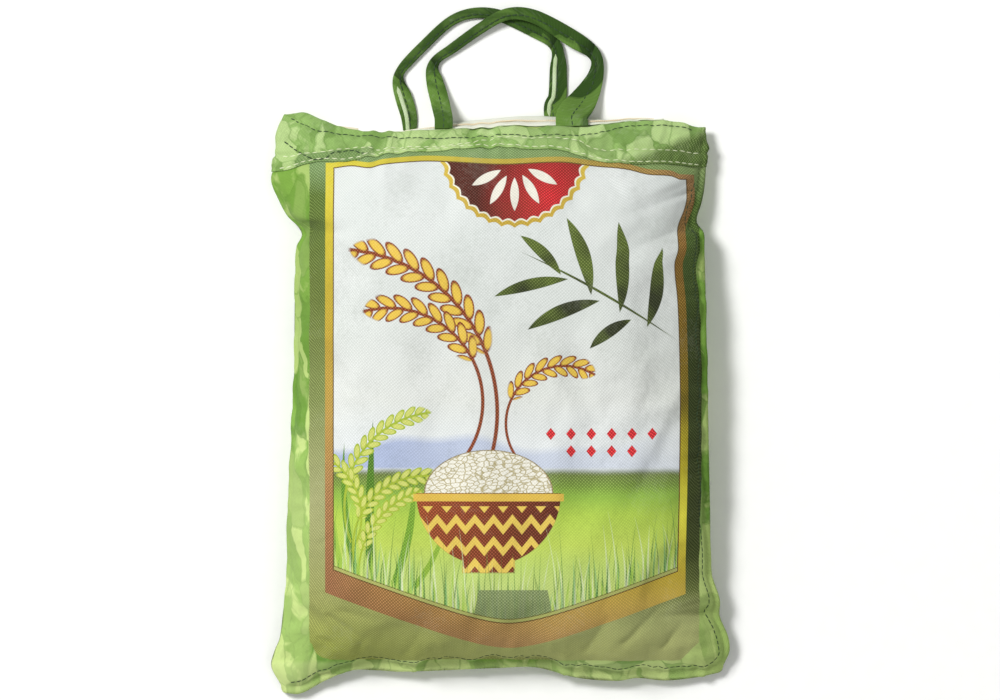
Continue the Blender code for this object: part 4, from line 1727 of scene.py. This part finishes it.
class RicePicture:
    """The printed front: a framed field with a heaped bowl, rice ears and leaves, in millimetres.

    Places are measured from the middle of the sack. Each method paints its part over the last one.
    """

    SKY = (
        (0.05, "#CBDA8C"), (0.17, "#C8DC82"), (0.21, "#C0D872"), (0.25, "#C2D860"), (0.30, "#B8D656"),
        (0.334, "#97BE4E"), (0.352, "#76923F"), (0.374, "#66743E"), (0.384, "#E2E7EC"), (0.42, "#E8ECEC"),
        (0.45, "#E4E8E6"), (0.50, "#E2E5DF"), (0.65, "#DCE1DC"), (0.92, "#DEE3E0"),
    )
    LEFT_BAR = (
        (0.10, "#7C4E36"), (0.33, "#9C7248"), (0.47, "#B0904A"), (0.62, "#B89C38"), (0.75, "#CDB83C"),
        (0.92, "#DED048"),
    )
    RIGHT_BAR = (
        (0.08, "#C8A664"), (0.20, "#C4AC3A"), (0.30, "#F2EC50"), (0.38, "#BCAE30"), (0.50, "#6E5E16"),
        (0.75, "#7A5A24"), (0.90, "#8C6C44"),
    )
    # painted reflection: the paler tones lower down on the left stand for light reflected off that slope,
    # over the print's olive
    LEFT_MARGIN = (
        (0.05, "#939C46"), (0.15, "#949858"), (0.325, "#A5A774"), (0.5, "#77834A"), (0.675, "#5C6A30"),
        (0.86, "#52662C"), (0.93, "#7E9A66"),
    )
    # painted shade: the darkest tones on the right are the print's dark olive darkened further by the shade
    # on that side
    RIGHT_MARGIN = (
        (0.05, "#B6BA78"), (0.12, "#A6AC70"), (0.17, "#5E6834"), (0.23, "#363F18"), (0.40, "#2E3814"),
        (0.60, "#2B3612"), (0.76, "#3E5220"), (0.86, "#4A622A"), (0.93, "#7A9058"),
    )
    LEFT, RIGHT, HEM, TOP = -135.0, 138.0, -181.5, 183.0
    BAR_LEFT, BAR_RIGHT, BAR_TOP = -123.7, 128.2, 167.4
    EDGE_LEFT, EDGE_RIGHT, EDGE_TOP = -118.3, 123.0, 164.0
    BAND_DEPTH = 17.5
    MEDALLION, MEDALLION_RADIUS, GLOW, FAN = (8.0, 172.0), 52.5, (34.0, 140.0), (8.0, 165.0)
    FAN_REACH = (11.0, 34.0)
    BOWL_MIDDLE, BRIM, BOWL_HALF, BOWL_DEPTH, HEAP = -10.0, -64.0, 50.0, 50.0, 30.0
    PLAQUE_TOP, PLAQUE_MIDDLE, PLAQUE_HALF = -131.0, 7.0, 24.0

    def __init__(self, graph: Graph) -> None:
        """Finds the place on the print.

        Args:
            graph: The material's nodes.
        """
        self.graph = graph
        span = SackPrint.SPAN
        flat, middle = (span, span, 0.0), (-span / 2, -span / 2, 0.0)
        self.place = graph.vector("MULTIPLY_ADD", graph.map(Map.PRINT), flat, middle)
        self.x, self.y = graph.split(self.place)
        self.rise = self.y / span + 0.5
        sag = self.x * 0.36 - 1.4
        self.valley = (sag * sag + 64.0).math("SQRT") - 162.7

    def paint(self, mask: Field, colour: Value) -> None:
        """Paints a colour where a mask shows."""
        self.colour = self.graph.blend(mask, self.colour, colour)

    def inside(self, left: float, right: float, top: float, lower: Field) -> Field:
        """How far inside the frame a place is."""
        return (self.x - left) & (right - self.x) & (top - self.y) & (self.y - lower)

    def leaf(self, start: tuple[float, float], end: tuple[float, float], bulge: tuple[float, float]) -> Field:
        """Blade between two arcs.

        Args:
            start: One tip.
            end: The other tip.
            bulge: How far each side stands out from the line between the tips, left and right.

        Returns:
            How far inside the blade a place is.
        """
        run = Vector(end) - Vector(start)
        half, middle = run.length / 2, (Vector(start) + Vector(end)) / 2
        left = Vector((-run.y, run.x)).normalized()
        sides = []
        for rise, out in zip(bulge, (left, -left)):
            radius = (half * half + rise * rise) / (2 * abs(rise))
            centre = middle + out * (rise - math.copysign(radius, rise))
            away = self.graph.distance(self.place, *centre)
            sides.append(radius - away if rise > 0 else away - radius)
        return sides[0] & sides[1]

    def lay_blades(self, blades: Sequence[tuple]) -> None:
        """Paints blades, each with its two tips, the bulge of its sides and its colour."""
        for start, end, bulge, colour in blades:
            self.paint(self.leaf(start, end, bulge).over(), colour)

    def paint_all(self) -> tuple[Field, Field]:
        """Paints the print.

        Returns:
            Its colour, and a mask of where there is print at all.
        """
        self.paint_margin()
        frame_edge = self.inside(self.BAR_LEFT, self.BAR_RIGHT, self.BAR_TOP, self.valley - self.BAND_DEPTH)
        self.edge = self.inside(self.EDGE_LEFT, self.EDGE_RIGHT, self.EDGE_TOP, self.valley)
        self.paint_bars(frame_edge)
        for paint_part in (
            self.scene_start, self.paint_medallion, self.paint_spray, self.paint_diamonds,
            self.paint_plants, self.paint_ears, self.paint_bowl, self.paint_grass,
            self.paint_plaque, self.scene_end,
        ):
            paint_part()
        left, right, up = self.x - self.LEFT, self.RIGHT - self.x, self.y - self.HEM
        wander = self.graph.noise(self.place, 0.07, 1.0) * 2.0 - 1.0
        corners = (left + up - 10.0 + wander * 9.0) & (right + up - 13.0 + wander * 9.0)
        printed = (left & right & up & corners & (self.TOP - self.y)) + wander
        return self.colour, printed.over(0.0, 0.6)

    def paint_margin(self) -> None:
        """Olive print round the frame, darker on the right with painted shade, and paler lower down on the
        left with painted reflection.
        """
        self.colour = self.sides(250, self.LEFT_MARGIN, self.RIGHT_MARGIN)

    def sides(self, width: float, left: Table, right: Table) -> Field:
        """Colour that goes from one row of tones at the left to another at the right."""
        aside = self.x.math("MULTIPLY_ADD", 1 / width, 0.5, clamp=True)
        return self.graph.blend(aside, *(self.graph.ramp(self.rise, row) for row in (left, right)))

    def paint_bars(self, frame_edge: Field) -> None:
        """Gold and brown bars of the frame, with a fine dark line inside."""
        self.paint(frame_edge.over(), self.sides(240, self.LEFT_BAR, self.RIGHT_BAR))
        self.paint(self.edge.over(), "#5A4420")

    def scene_start(self) -> None:
        """Sky, hills, hedge and field, kept apart until the frame is laid over them."""
        self.under = self.colour
        cloud = self.graph.noise(self.place, 0.02, 3.0)
        self.colour = self.graph.ramp(self.rise + (cloud - 0.5) * 0.012, self.SKY)
        haze = (cloud * 2.4 - 0.9).math("MULTIPLY", 0.3, clamp=True)
        self.paint(haze * self.rise.over(0.45, 0.1), (0.9, 0.9, 0.9))
        hill = self.y + self.x.wave(170.0) * 5.0 + self.x.wave(61.0) * 2.0 + 30.0
        ridge = (0.0 - hill).over(0.0, 6.0) * self.rise.over(0.383, 0.004)
        aside = (0.0 - self.x).math("MULTIPLY_ADD", 1 / 210, 0.62, clamp=True)
        self.paint(ridge * aside, "#B2BEDC")

    def scene_end(self) -> None:
        """Lays the finished picture inside the frame."""
        strip = (self.y - self.valley).over(3.0, 0.5)
        lined = self.graph.blend(strip, "#B4B86A", self.colour)
        line = (1.0 - ((self.y - self.valley) - 3.2).size()).over(0.6, 0.3)
        self.colour = self.graph.blend(line * 0.8, lined, "#5E5A26")
        self.colour = self.graph.blend(self.edge.over(0.8), self.under, self.colour)

    def paint_medallion(self) -> None:
        """Maroon half-disc with a gold rim, and a fan of white grains in it."""
        x, y = self.MEDALLION
        away = self.graph.distance(self.place, x, y)
        scallop = (self.y - y).math("ARCTAN2", self.x - x).wave(math.pi / 9).size() * 2.0
        rim = self.MEDALLION_RADIUS - scallop - away
        glow = self.graph.distance(self.place, *self.GLOW).math("MULTIPLY_ADD", -1 / 52, 1.0, clamp=True)
        self.paint(rim.over(), self.graph.ramp(self.rise, ((0.78, "#B99A3C"), (0.92, "#DCC052"))))
        self.paint(rim.over(3.0), (0.86, 0.84, 0.7))
        self.paint(rim.over(4.2), self.graph.blend(glow, "#4A201C", "#B5242C"))
        for turn in range(-150, 0, 30):
            out = Vector((math.cos(math.radians(turn)), math.sin(math.radians(turn))))
            tips = [tuple(Vector(self.FAN) + out * reach) for reach in self.FAN_REACH]
            self.paint(self.leaf(*tips, (3.0, 3.0)).over(), "#EFEBDD")

    def paint_spray(self) -> None:
        """Dark olive spray of long leaves in the sky."""
        dark = self.graph.ramp(self.graph.noise(self.place, 0.05, 1.0) + self.rise * 1.2 - 0.9,
                               ((0.25, "#2A2E1C"), (0.6, "#55642C")))
        blades = (
            ((119, 43), (14, 102), (-1.8, 3.6)),
            ((100, 51), (111, 106), (1.8, 7.8)),
            ((81, 61), (80, 124), (1.6, 8.6)),
            ((61, 73), (44, 126), (1.8, 8.2)),
            ((40, 87), (12, 114), (1.6, 6.2)),
            ((89, 56), (60, 36), (2, 6)),
            ((67, 69), (17, 49), (1.8, 7.8)),
            ((45, 84), (-6, 72), (1.8, 6.4)),
        )
        self.lay_blades([(*blade, dark) for blade in blades])

    def paint_diamonds(self) -> None:
        """Two short rows of small red diamonds."""
        for height, first, last, pitch in ((-23.0, 26.0, 110.0, 14.0), (-35.0, 40.0, 96.0, 14.0)):
            across = (self.x - first).repeat(pitch) * pitch
            shape = 3.4 - across.size() - (self.y - height).size() * 0.8
            run = (self.x - first) & (last - self.x)
            self.paint(shape.over() * run.over(), "#BE2A32")

    def paint_ears(self) -> None:
        """Golden ears that bend out of the bowl."""
        gold = (
            ((-117, -8), 113, 0.92, 0.56, 0.75, 1, 12.4),
            ((-79, -1), 65, 1.15, 0.70, 1.25, 1, 11),
            ((42, -16), 40, 1.86, 0.86, 1.3, -1, 8.6),
        )
        self.lay_ears(gold, "#7A3A22", "#EAC654", 1.0)

    def paint_plants(self) -> None:
        """Pale green rice plants at the side, with their long leaves."""
        blades = (
            ((-92, -150), (-110, -30), (9, -4.4), "#5E8A2C"),
            ((-88, -150), (-62, -52), (-5, 10.4), "#77A136"),
            ((-92, -150), (-90, -14), (4.4, 1.6), "#4C7424"),
            ((-84, -150), (-38, -80), (-6, 10), "#8FB440"),
            ((-96, -150), (-116, -84), (8, -3.6), "#A5C850"),
        )
        self.lay_blades(blades)
        green = (
            ((-44, -74), 66, 2.28, 0.62, 0.62, -1, 7.4),
            ((-54, -102), 50, 2.05, 0.70, 0.85, -1, 6.8),
            ((-142, -80), 44, 0.72, 0.62, 0.7, 1, 6.6),
            ((-40, -120), 60, 2.36, 0.52, 0.5, -1, 6.2),
        )
        self.lay_ears(green, "#A8BC3C", "#DDE080", 0.8)

    def lay_ears(self, ears: Table, husk: str, grain: str, share: float) -> None:
        """Paints ears of one colour.

        Args:
            ears: Arc's centre, radius, middle turn, reach, length of stem, side and grain of each.
            husk: Colour code of the stem and the husks.
            grain: Colour code of the grains.
            share: How strongly the grains show.
        """
        for spot, radius, middle, reach, tail, side, size in ears:
            ear = self.graph.group(
                Ear, Place=self.place, Centre=(*spot, 0.0), Radius=radius, Middle=middle,
                Reach=reach, Tail=tail, Side=side, Grain=size,
            )
            self.paint(ear["Mask"], husk)
            self.paint(ear["Core"] * share, grain)

    def paint_bowl(self) -> None:
        """Bowl banded in brown and yellow, heaped with white rice."""
        across, up = (self.x - self.BOWL_MIDDLE) / self.BOWL_HALF, self.y - self.BRIM
        heap = (1.0 - across * across * 1.25 - up * up / self.HEAP**2) & (up * 0.2)
        swirl = self.graph.join(self.x * 0.19 + self.y * 0.12, self.y * 0.36 - self.x * 0.1)
        grains = self.graph.cells(swirl, 1.0, "DISTANCE_TO_EDGE")
        rice = self.graph.blend(grains.over(0.07, 0.1), "#B7AB80", "#F4F1E3")
        self.paint(heap.over(0.0, 0.03), "#8A7A52")
        self.paint(heap.over(0.04, 0.03), rice)
        body = 1.0 - across * across - up * up / self.BOWL_DEPTH**2
        below = (0.0 - up).over()
        foot = (0.36 - across.size()) & ((up + self.BOWL_DEPTH + 5.0) / 60.0)
        shell = (body | foot).over(0.0, 0.02) * below
        shade = self.graph.blend(across.math("MULTIPLY_ADD", 0.5, 0.5, clamp=True), "#8C4426", "#55231A")
        self.paint(shell, shade)
        zigzag = (self.x.repeat(13.0).size() * 16.0 + up + 40.0) / 15.0
        bands = (zigzag.math("FRACT") - 0.5).size()
        self.paint((0.2 - bands).over(0.0, 0.04) * shell * (0.0 - up).over(9.0), "#EACB60")
        brim_band = (2.6 - (up + 3.0).size()) & ((1.04 - across.size()) * 50.0)
        self.paint(brim_band.over(), "#E3BE54")

    def paint_grass(self) -> None:
        """Rows of dark and pale blades at the foot of the picture."""
        rows = (
            (11, 0.13, 2, 46, 0.9, "#4F7C38", 0.75), (8, 0.41, -2, 40, 1.2, "#8FC07A", 0.8),
            (15, 0.77, 0, 52, 1.1, "#E2ECC0", 0.6), (7, 0.29, -4, 34, 0.9, "#3F6C30", 0.8),
            (13, 0.66, -2, 56, 0.5, "#4E7836", 0.8), (16, 0.02, -2, 60, 0.6, "#5C8840", 0.8),
            (18, 0.48, -2, 50, 0.6, "#44702F", 0.8), (21, 0.83, -2, 64, 0.9, "#DCEBB4", 0.7),
            (9, 0.63, -3, 36, 1.6, "#A6CC52", 0.85), (6, 0.91, -6, 30, 1.3, "#C9DE7A", 0.85),
            (5, 0.53, -6, 24, 0.9, "#5E8C40", 0.8), (10, 0.19, -6, 32, 2, "#BFD96E", 0.8),
            (4, 0.07, -8, 20, 1.2, "#D2DF7C", 0.85), (12, 0.34, -4, 38, 0.9, "#EEF2D2", 0.5),
        )
        for pitch, shift, foot, height, width, colour, share in rows:
            row = self.graph.group(Grass, Place=self.place, Pitch=pitch, Shift=shift,
                                   Foot=self.valley + foot, Height=height, Width=width)
            self.paint(row["Mask"] * share, colour)

    def paint_plaque(self) -> None:
        """Bare olive plaque at the foot of the picture."""
        slope = (self.x - self.PLAQUE_MIDDLE).size() - (self.y + 132.0) * -0.2
        shape = (self.PLAQUE_HALF - slope) & (self.PLAQUE_TOP - self.y)
        self.paint(shape.over() * 0.9, "#77855A")


class Finish:
    """A material: one Principled shader with its colour, roughness and relief."""

    name: str
    PLAIN: dict[str, float] = {}
    RELIEF = 0.0002

    def build(self) -> Material:
        """Makes the material."""
        material = bpy.data.materials.new(self.name)
        material.use_nodes = True
        graph = Graph(material.node_tree)
        shader = material.node_tree.nodes["Principled BSDF"]
        for name, value in self.PLAIN.items():
            shader.inputs[name].default_value = value
        colour, roughness, height = self.wire(graph)
        graph.feed(shader.inputs["Base Color"], colour)
        graph.feed(shader.inputs["Roughness"], roughness)
        bump = graph.node("Bump", {"Height": height}, label="relief")
        bump.inputs["Distance"].default_value = self.RELIEF
        graph.tree.links.new(bump.outputs["Normal"], shader.inputs["Normal"])
        return material

    def wire(self, graph: Graph) -> Parts:
        """Wires the finish: its colour, its roughness and the height of its relief."""
        raise NotImplementedError


class Cloth(Finish):
    """Woven and printed cloth."""

    PLAIN = {"Sheen Weight": 0.02, "Specular IOR Level": 0.12}
    RELIEF = 0.00014

    @staticmethod
    def leaves(graph: Graph, place: Field, tones: Sequence[str], size: float) -> Field:
        """The leaf pattern in a light, a middle and a deep tone, its leaves of a size in metres."""
        named = dict(zip(("Light", "Middle", "Deep"), tones))
        return graph.group(LeafPattern, Place=place, **named, Size=size)["Colour"]


class PrintedCloth(Cloth):
    """Front of the sack: printed twill inside a margin of the leaf pattern."""

    name = "printed_cloth"
    TONES = ("#C2D884", "#84AE4C", "#648E36")
    LEAF_SIZE = 0.018
    INK_SHADE = (0.03, 0.05, 0.02)
    FLECK_GAIN = (2.5, 2.4, 2.7)

    def wire(self, graph: Graph) -> Parts:
        """Lays the print over the leaf pattern.

        Args:
            graph: The material's nodes.

        Returns:
            The colour, the roughness and the height of the relief.
        """
        place = graph.map(Map.WEAVE)
        twill = graph.group(Twill, Place=place)
        margin = self.leaves(graph, place, self.TONES, self.LEAF_SIZE)
        artwork = RicePicture(graph)
        beside = (0.0 - artwork.x).over(134.0, 3.0)
        for share, tone in (
            ((0.0 - artwork.y).over(38.0, 50.0) * beside * 0.32, "#CFE294"),
            ((0.0 - artwork.y).over(183.0, 3.0) * 0.3, "#CFDC98"),
            (artwork.y.over(20.0, 60.0) * beside * 0.45, "#6C9238"),
        ):
            margin = graph.blend(share, margin, tone)
        picture, printed = artwork.paint_all()
        bright = Field(graph, graph.node("RGBToBW", {"Color": picture}).outputs[0])
        dark = (0.44 - bright).math("MULTIPLY", 3.0, clamp=True)
        pale = graph.blend(0.05, graph.blend(1.0, picture, self.FLECK_GAIN, "MULTIPLY"), "#E6E2BC")
        inked = graph.blend((1.0 - twill["Flecks"]) * 0.16, picture, self.INK_SHADE)
        flecked = graph.blend(twill["Flecks"] * dark * 0.75, inked, pale)
        # painted shade: the leaf margin on the right side is darkened, more towards the top, where that side
        # turns away from the light
        upper = artwork.y.over(-95.0, 60.0)
        shade = artwork.x.over(138.0, 12.0) * (upper * 0.35 + 0.25)
        edging = graph.blend(shade, margin, "#45661F")
        corner = artwork.x.over(130.0, 16.0) * (0.0 - artwork.y).over(125.0, 20.0)
        edging = graph.blend(corner * 0.55, edging, "#B4C878")
        colour = graph.blend(printed, edging, flecked)
        wear = graph.group(SoftWear, Place=place, Colour=colour, Amount=0.06)
        return wear["Colour"], wear["Roughness"], twill["Height"]


@dataclass(frozen=True)
class LeafCloth(Cloth):
    """Cloth printed with leaves, whose dark edging may show at both ends of a band."""

    name: str
    tones: tuple[str, str, str]
    size: float
    edging: bool = False
    creases: Table = ()
    INK_SHADE = (0.04, 0.08, 0.02)
    FOLD_LINE = 234.0
    CREASE_SHADE = 9.0

    def wire(self, graph: Graph) -> Parts:
        """Weaves and wears the leaf pattern.

        Args:
            graph: The material's nodes.

        Returns:
            The colour, the roughness and the height of the relief.
        """
        place = graph.map(Map.WEAVE)
        leaves = self.leaves(graph, place, self.tones, self.size)
        twill = graph.group(Twill, Place=place)
        flecked = graph.blend((1.0 - twill["Flecks"]) * 0.14, leaves, self.INK_SHADE)
        if self.edging:
            flecked = self.edge_ends(graph, place, flecked, twill["Flecks"])
        if self.creases:
            flecked = self.shade_creases(graph, flecked)
        wear = graph.group(SoftWear, Place=place, Colour=flecked, Amount=0.1)
        return wear["Colour"], wear["Roughness"], twill["Height"]

    def shade_creases(self, graph: Graph, colour: Value) -> Field:
        """Paints shade on the rolled arcs of the straps, darkest where each goes under its leg.

        Args:
            graph: The material's nodes.
            colour: Colour under the shade.

        Returns:
            The colour.
        """
        x, y = graph.split(graph.on_piece())
        x, y = x / MM, y / MM
        # painted shade on the straps' arcs at the upper left, where they roll over
        arc_shade = y.over(self.FOLD_LINE, 6.0) * (0.0 - x).over(-4.0, 30.0)
        colour = graph.blend(arc_shade * 0.6, colour, "#2C431E")
        # painted shade on the arc side of each crease, fading away from it
        for x0, y0, x1, y1 in self.creases:
            run = math.hypot(x1 - x0, y1 - y0)
            level = ((x1 - x0) * y0 - (y1 - y0) * x0) / run
            before = (x * ((y1 - y0) / run) - y * ((x1 - x0) / run)) + level
            shade = before.over(0.0, 0.5) * (1.0 - before / self.CREASE_SHADE).math("MAXIMUM", 0.0)
            near = 8.0 - graph.distance(graph.join(x, y), (x0 + x1) / 2, (y0 + y1) / 2)
            colour = graph.blend(shade * near.over(0.0, 2.0) * 0.85, colour, "#1A2A12")
        return colour

    @staticmethod
    def edge_ends(graph: Graph, place: Field, colour: Value, flecks: Field) -> Field:
        """Lays the dark edging of the print over both ends of the band.

        Args:
            graph: The material's nodes.
            place: Place on the cloth: from the middle, and up from the lower edge, in metres.
            colour: Colour under it.
            flecks: Where the weave shows pale.

        Returns:
            The colour.
        """
        x, y = graph.split(place)
        uneven = graph.noise(place, 90.0, 2.0) * 0.008 - 0.004
        wedge = (x - 0.083 + uneven) * 0.44 - y
        patch = (0.0 - x - 0.088 + uneven) & (x + 0.150) & ((0.0095 - y + uneven) * 3.0)
        olive = graph.blend(flecks * 0.7, "#3F5722", "#93A466")
        greyer = graph.blend(flecks * 0.6, "#5F7C4A", "#A4B880")
        colour = graph.blend(wedge.over(0.002, 0.008) * 0.85, colour, olive)
        return graph.blend(patch.over(0.002, 0.005) * 0.7, colour, greyer)


class CreamTape(Finish):
    """Woven zip tape."""

    name = "cream_tape"
    PLAIN = {"Sheen Weight": 0.03, "Specular IOR Level": 0.15}
    RELIEF = 0.0002

    def wire(self, graph: Graph) -> Parts:
        """Ribs the tape along its length.

        Args:
            graph: The material's nodes.

        Returns:
            The colour, the roughness and the height of the relief.
        """
        place = graph.map(Map.WEAVE)
        x, y = graph.split(place)
        ribs = y.wave(0.0011) * 0.5 + (x + y * 0.5).wave(0.0009) * 0.4
        shade = graph.blend(ribs.over(0.0, 1.6), "#E6E9D2", "#FCFDF4")
        wear = graph.group(SoftWear, Place=place, Colour=shade, Amount=0.05)
        return wear["Colour"], wear["Roughness"], ribs


@dataclass(frozen=True)
class Dipped(Finish):
    """Moulded, painted or twisted stuff of one colour, a little uneven."""

    name: str
    light: str
    dark: str
    rough: float
    grain: float
    RELIEF = 0.00006

    def wire(self, graph: Graph) -> Parts:
        """Clouds the colour and pits the surface.

        Args:
            graph: The material's nodes.

        Returns:
            The colour, the roughness and the height of the relief.
        """
        place = graph.on_piece()
        cloud, pits = graph.noise(place, 90.0, 2.0), graph.noise(place, self.grain, 2.0)
        colour = graph.blend(cloud.over(0.5, 0.5), self.dark, self.light)
        return colour, pits * 0.3 + (self.rough - 0.15), pits


def attach(piece: Piece, finish: Material, slot: str, *nodes: str) -> None:
    """Gives a new piece its finish and its place in the frame.

    Args:
        piece: The piece.
        finish: Its finish.
        slot: Name of a material slot; not used.
        nodes: The CAD nodes it replaces.
    """
    piece.data.materials.clear()
    piece.data.materials.append(finish)
    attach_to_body(piece, "root")
    if nodes:
        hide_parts(*nodes)
    LOG.info("%s: %d faces", piece.name, len(piece.data.polygons))


def repaint(node: Piece, finish: Material) -> None:
    """Gives a CAD node a better material.

    Args:
        node: The node's object.
        finish: Its material.
    """
    node.data.materials.clear()
    node.data.materials.append(finish)
    LOG.info("%s: repainted", node.name)


@dataclass
class Studio:
    """Camera, pale floor and soft light."""

    centre: tuple[float, float] = (-0.0021, 0.035)
    frame_width: float = 0.7
    distance: float = 5.0
    rim: float = 0.015
    floor_size: float = 6.0
    sky: float = 0.37
    sensor: float = 36.0
    LAMPS = (("key", (-1.9, 1.5, 3.3), 1.1, 140.0), ("fill", (1.4, -0.9, 1.8), 2.0, 8.0))

    def build(self) -> None:
        """Sets up the studio."""
        bpy.context.scene.view_settings.view_transform = "Standard"
        self.place_camera()
        self.lay_floor()
        self.hang_lights()

    def place_camera(self) -> None:
        """Camera straight above, with the mouth at the top of the frame."""
        camera = bpy.data.cameras.new("camera")
        camera.sensor_width = self.sensor
        camera.lens = camera.sensor_width * (self.distance - self.rim) / self.frame_width
        camera.clip_end = 100.0
        made = bpy.data.objects.new("camera", camera)
        made.location = (*self.centre, self.distance)
        bpy.context.scene.collection.objects.link(made)
        bpy.context.scene.camera = made

    def lay_floor(self) -> None:
        """Pale floor under the sack."""
        bm = bmesh.new()
        bmesh.ops.create_grid(bm, x_segments=1, y_segments=1, size=self.floor_size / 2)
        floor = placed("floor", bm)
        floor.data.materials.append(Dipped("pale_floor", "#FDFDFB", "#FAFAF8", 0.9, 40.0).build())

    def hang_lights(self) -> None:
        """A large soft light from the upper left, a weaker one opposite, and a pale sky."""
        for name, spot, size, power in self.LAMPS:
            light = bpy.data.lights.new(name, "AREA")
            light.energy, light.size = power, size
            made = bpy.data.objects.new(name, light)
            made.location = spot
            made.rotation_mode = "QUATERNION"
            made.rotation_quaternion = (-Vector(spot)).to_track_quat("-Z", "Y")
            bpy.context.scene.collection.objects.link(made)
        world = bpy.data.worlds.new("pale_sky")
        world.use_nodes = True
        inputs = world.node_tree.nodes["Background"].inputs
        inputs["Color"].default_value = (1.0, 1.0, 1.0, 1.0)
        inputs["Strength"].default_value = self.sky
        bpy.context.scene.world = world


def main() -> None:
    """Builds the sack and its studio."""
    logging.basicConfig(level=logging.INFO, format="%(name)s %(message)s")
    WRINKLES.run()
    sack = SackBody()
    sack.build()
    front = Band("front_band_cloth", "front_band", Panel.FRONT, BandSeams.FRONT_DEPTH)
    back = Band(
        "back_band_cloth", "back_band", Panel.BACK, BandSeams.BACK_DEPTH,
        gap=0.3, thickness=1.0, puff=0.22, pinch=0.3,
    )
    front.build()
    back.build()
    zipper = Zip()
    zipper.build_tape()
    zipper.build_coil()
    front_strap = Strap(
        "front_strap", "front_handle", Panel.FRONT,
        Straps.FRONT_ROOTS, Straps.FRONT_PATH, Straps.FRONT_WIDTHS, Straps.FRONT_CREASES,
    )
    back_strap = Strap(
        "back_strap", "back_handle", Panel.BACK,
        Straps.BACK_ROOTS, Straps.BACK_PATH, Straps.BACK_WIDTHS, Straps.BACK_CREASES,
    )
    front_strap.build()
    back_strap.build()
    back_strap.build_lips()
    sewing = Sewing(front, back, (front_strap, back_strap))
    sewing.build()
    sack.dress(PrintedCloth().build())
    leaf_tones = ("#B6D08A", "#92B566", "#73964A")
    front.dress(LeafCloth("front_leaf_cloth", leaf_tones, 0.017, edging=True).build())
    back.dress(LeafCloth("leaf_cloth", leaf_tones, 0.017).build())
    zipper.dress(
        CreamTape().build(),
        Dipped("nylon_teeth", "#F4EBD0", "#EAD8B6", 0.4, 900.0).build(),
        Dipped("painted_slider", "#E4DDC4", "#D6CDAE", 0.35, 700.0).build(),
    )
    handle_tones = ("#66893C", "#456426", "#2D491A")
    for strap in (front_strap, back_strap):
        finish = LeafCloth(f"{strap.name}_cloth", handle_tones, 0.03, creases=strap.creases)
        strap.dress(finish.build())
    turned_in = LeafCloth("turned_in_cloth", ("#D3E2BE", "#BCD0A0", "#A6BE88"), 0.03)
    back_strap.dress_lips(turned_in.build())
    sewing.dress(
        Dipped("cream_thread", "#E6EBC9", "#C9D3A4", 0.7, 2500.0).build(),
        Dipped("green_thread", "#2E4A26", "#1C3318", 0.7, 2500.0).build(),
    )
    Studio().build()


if __name__ == "__main__":
    main()
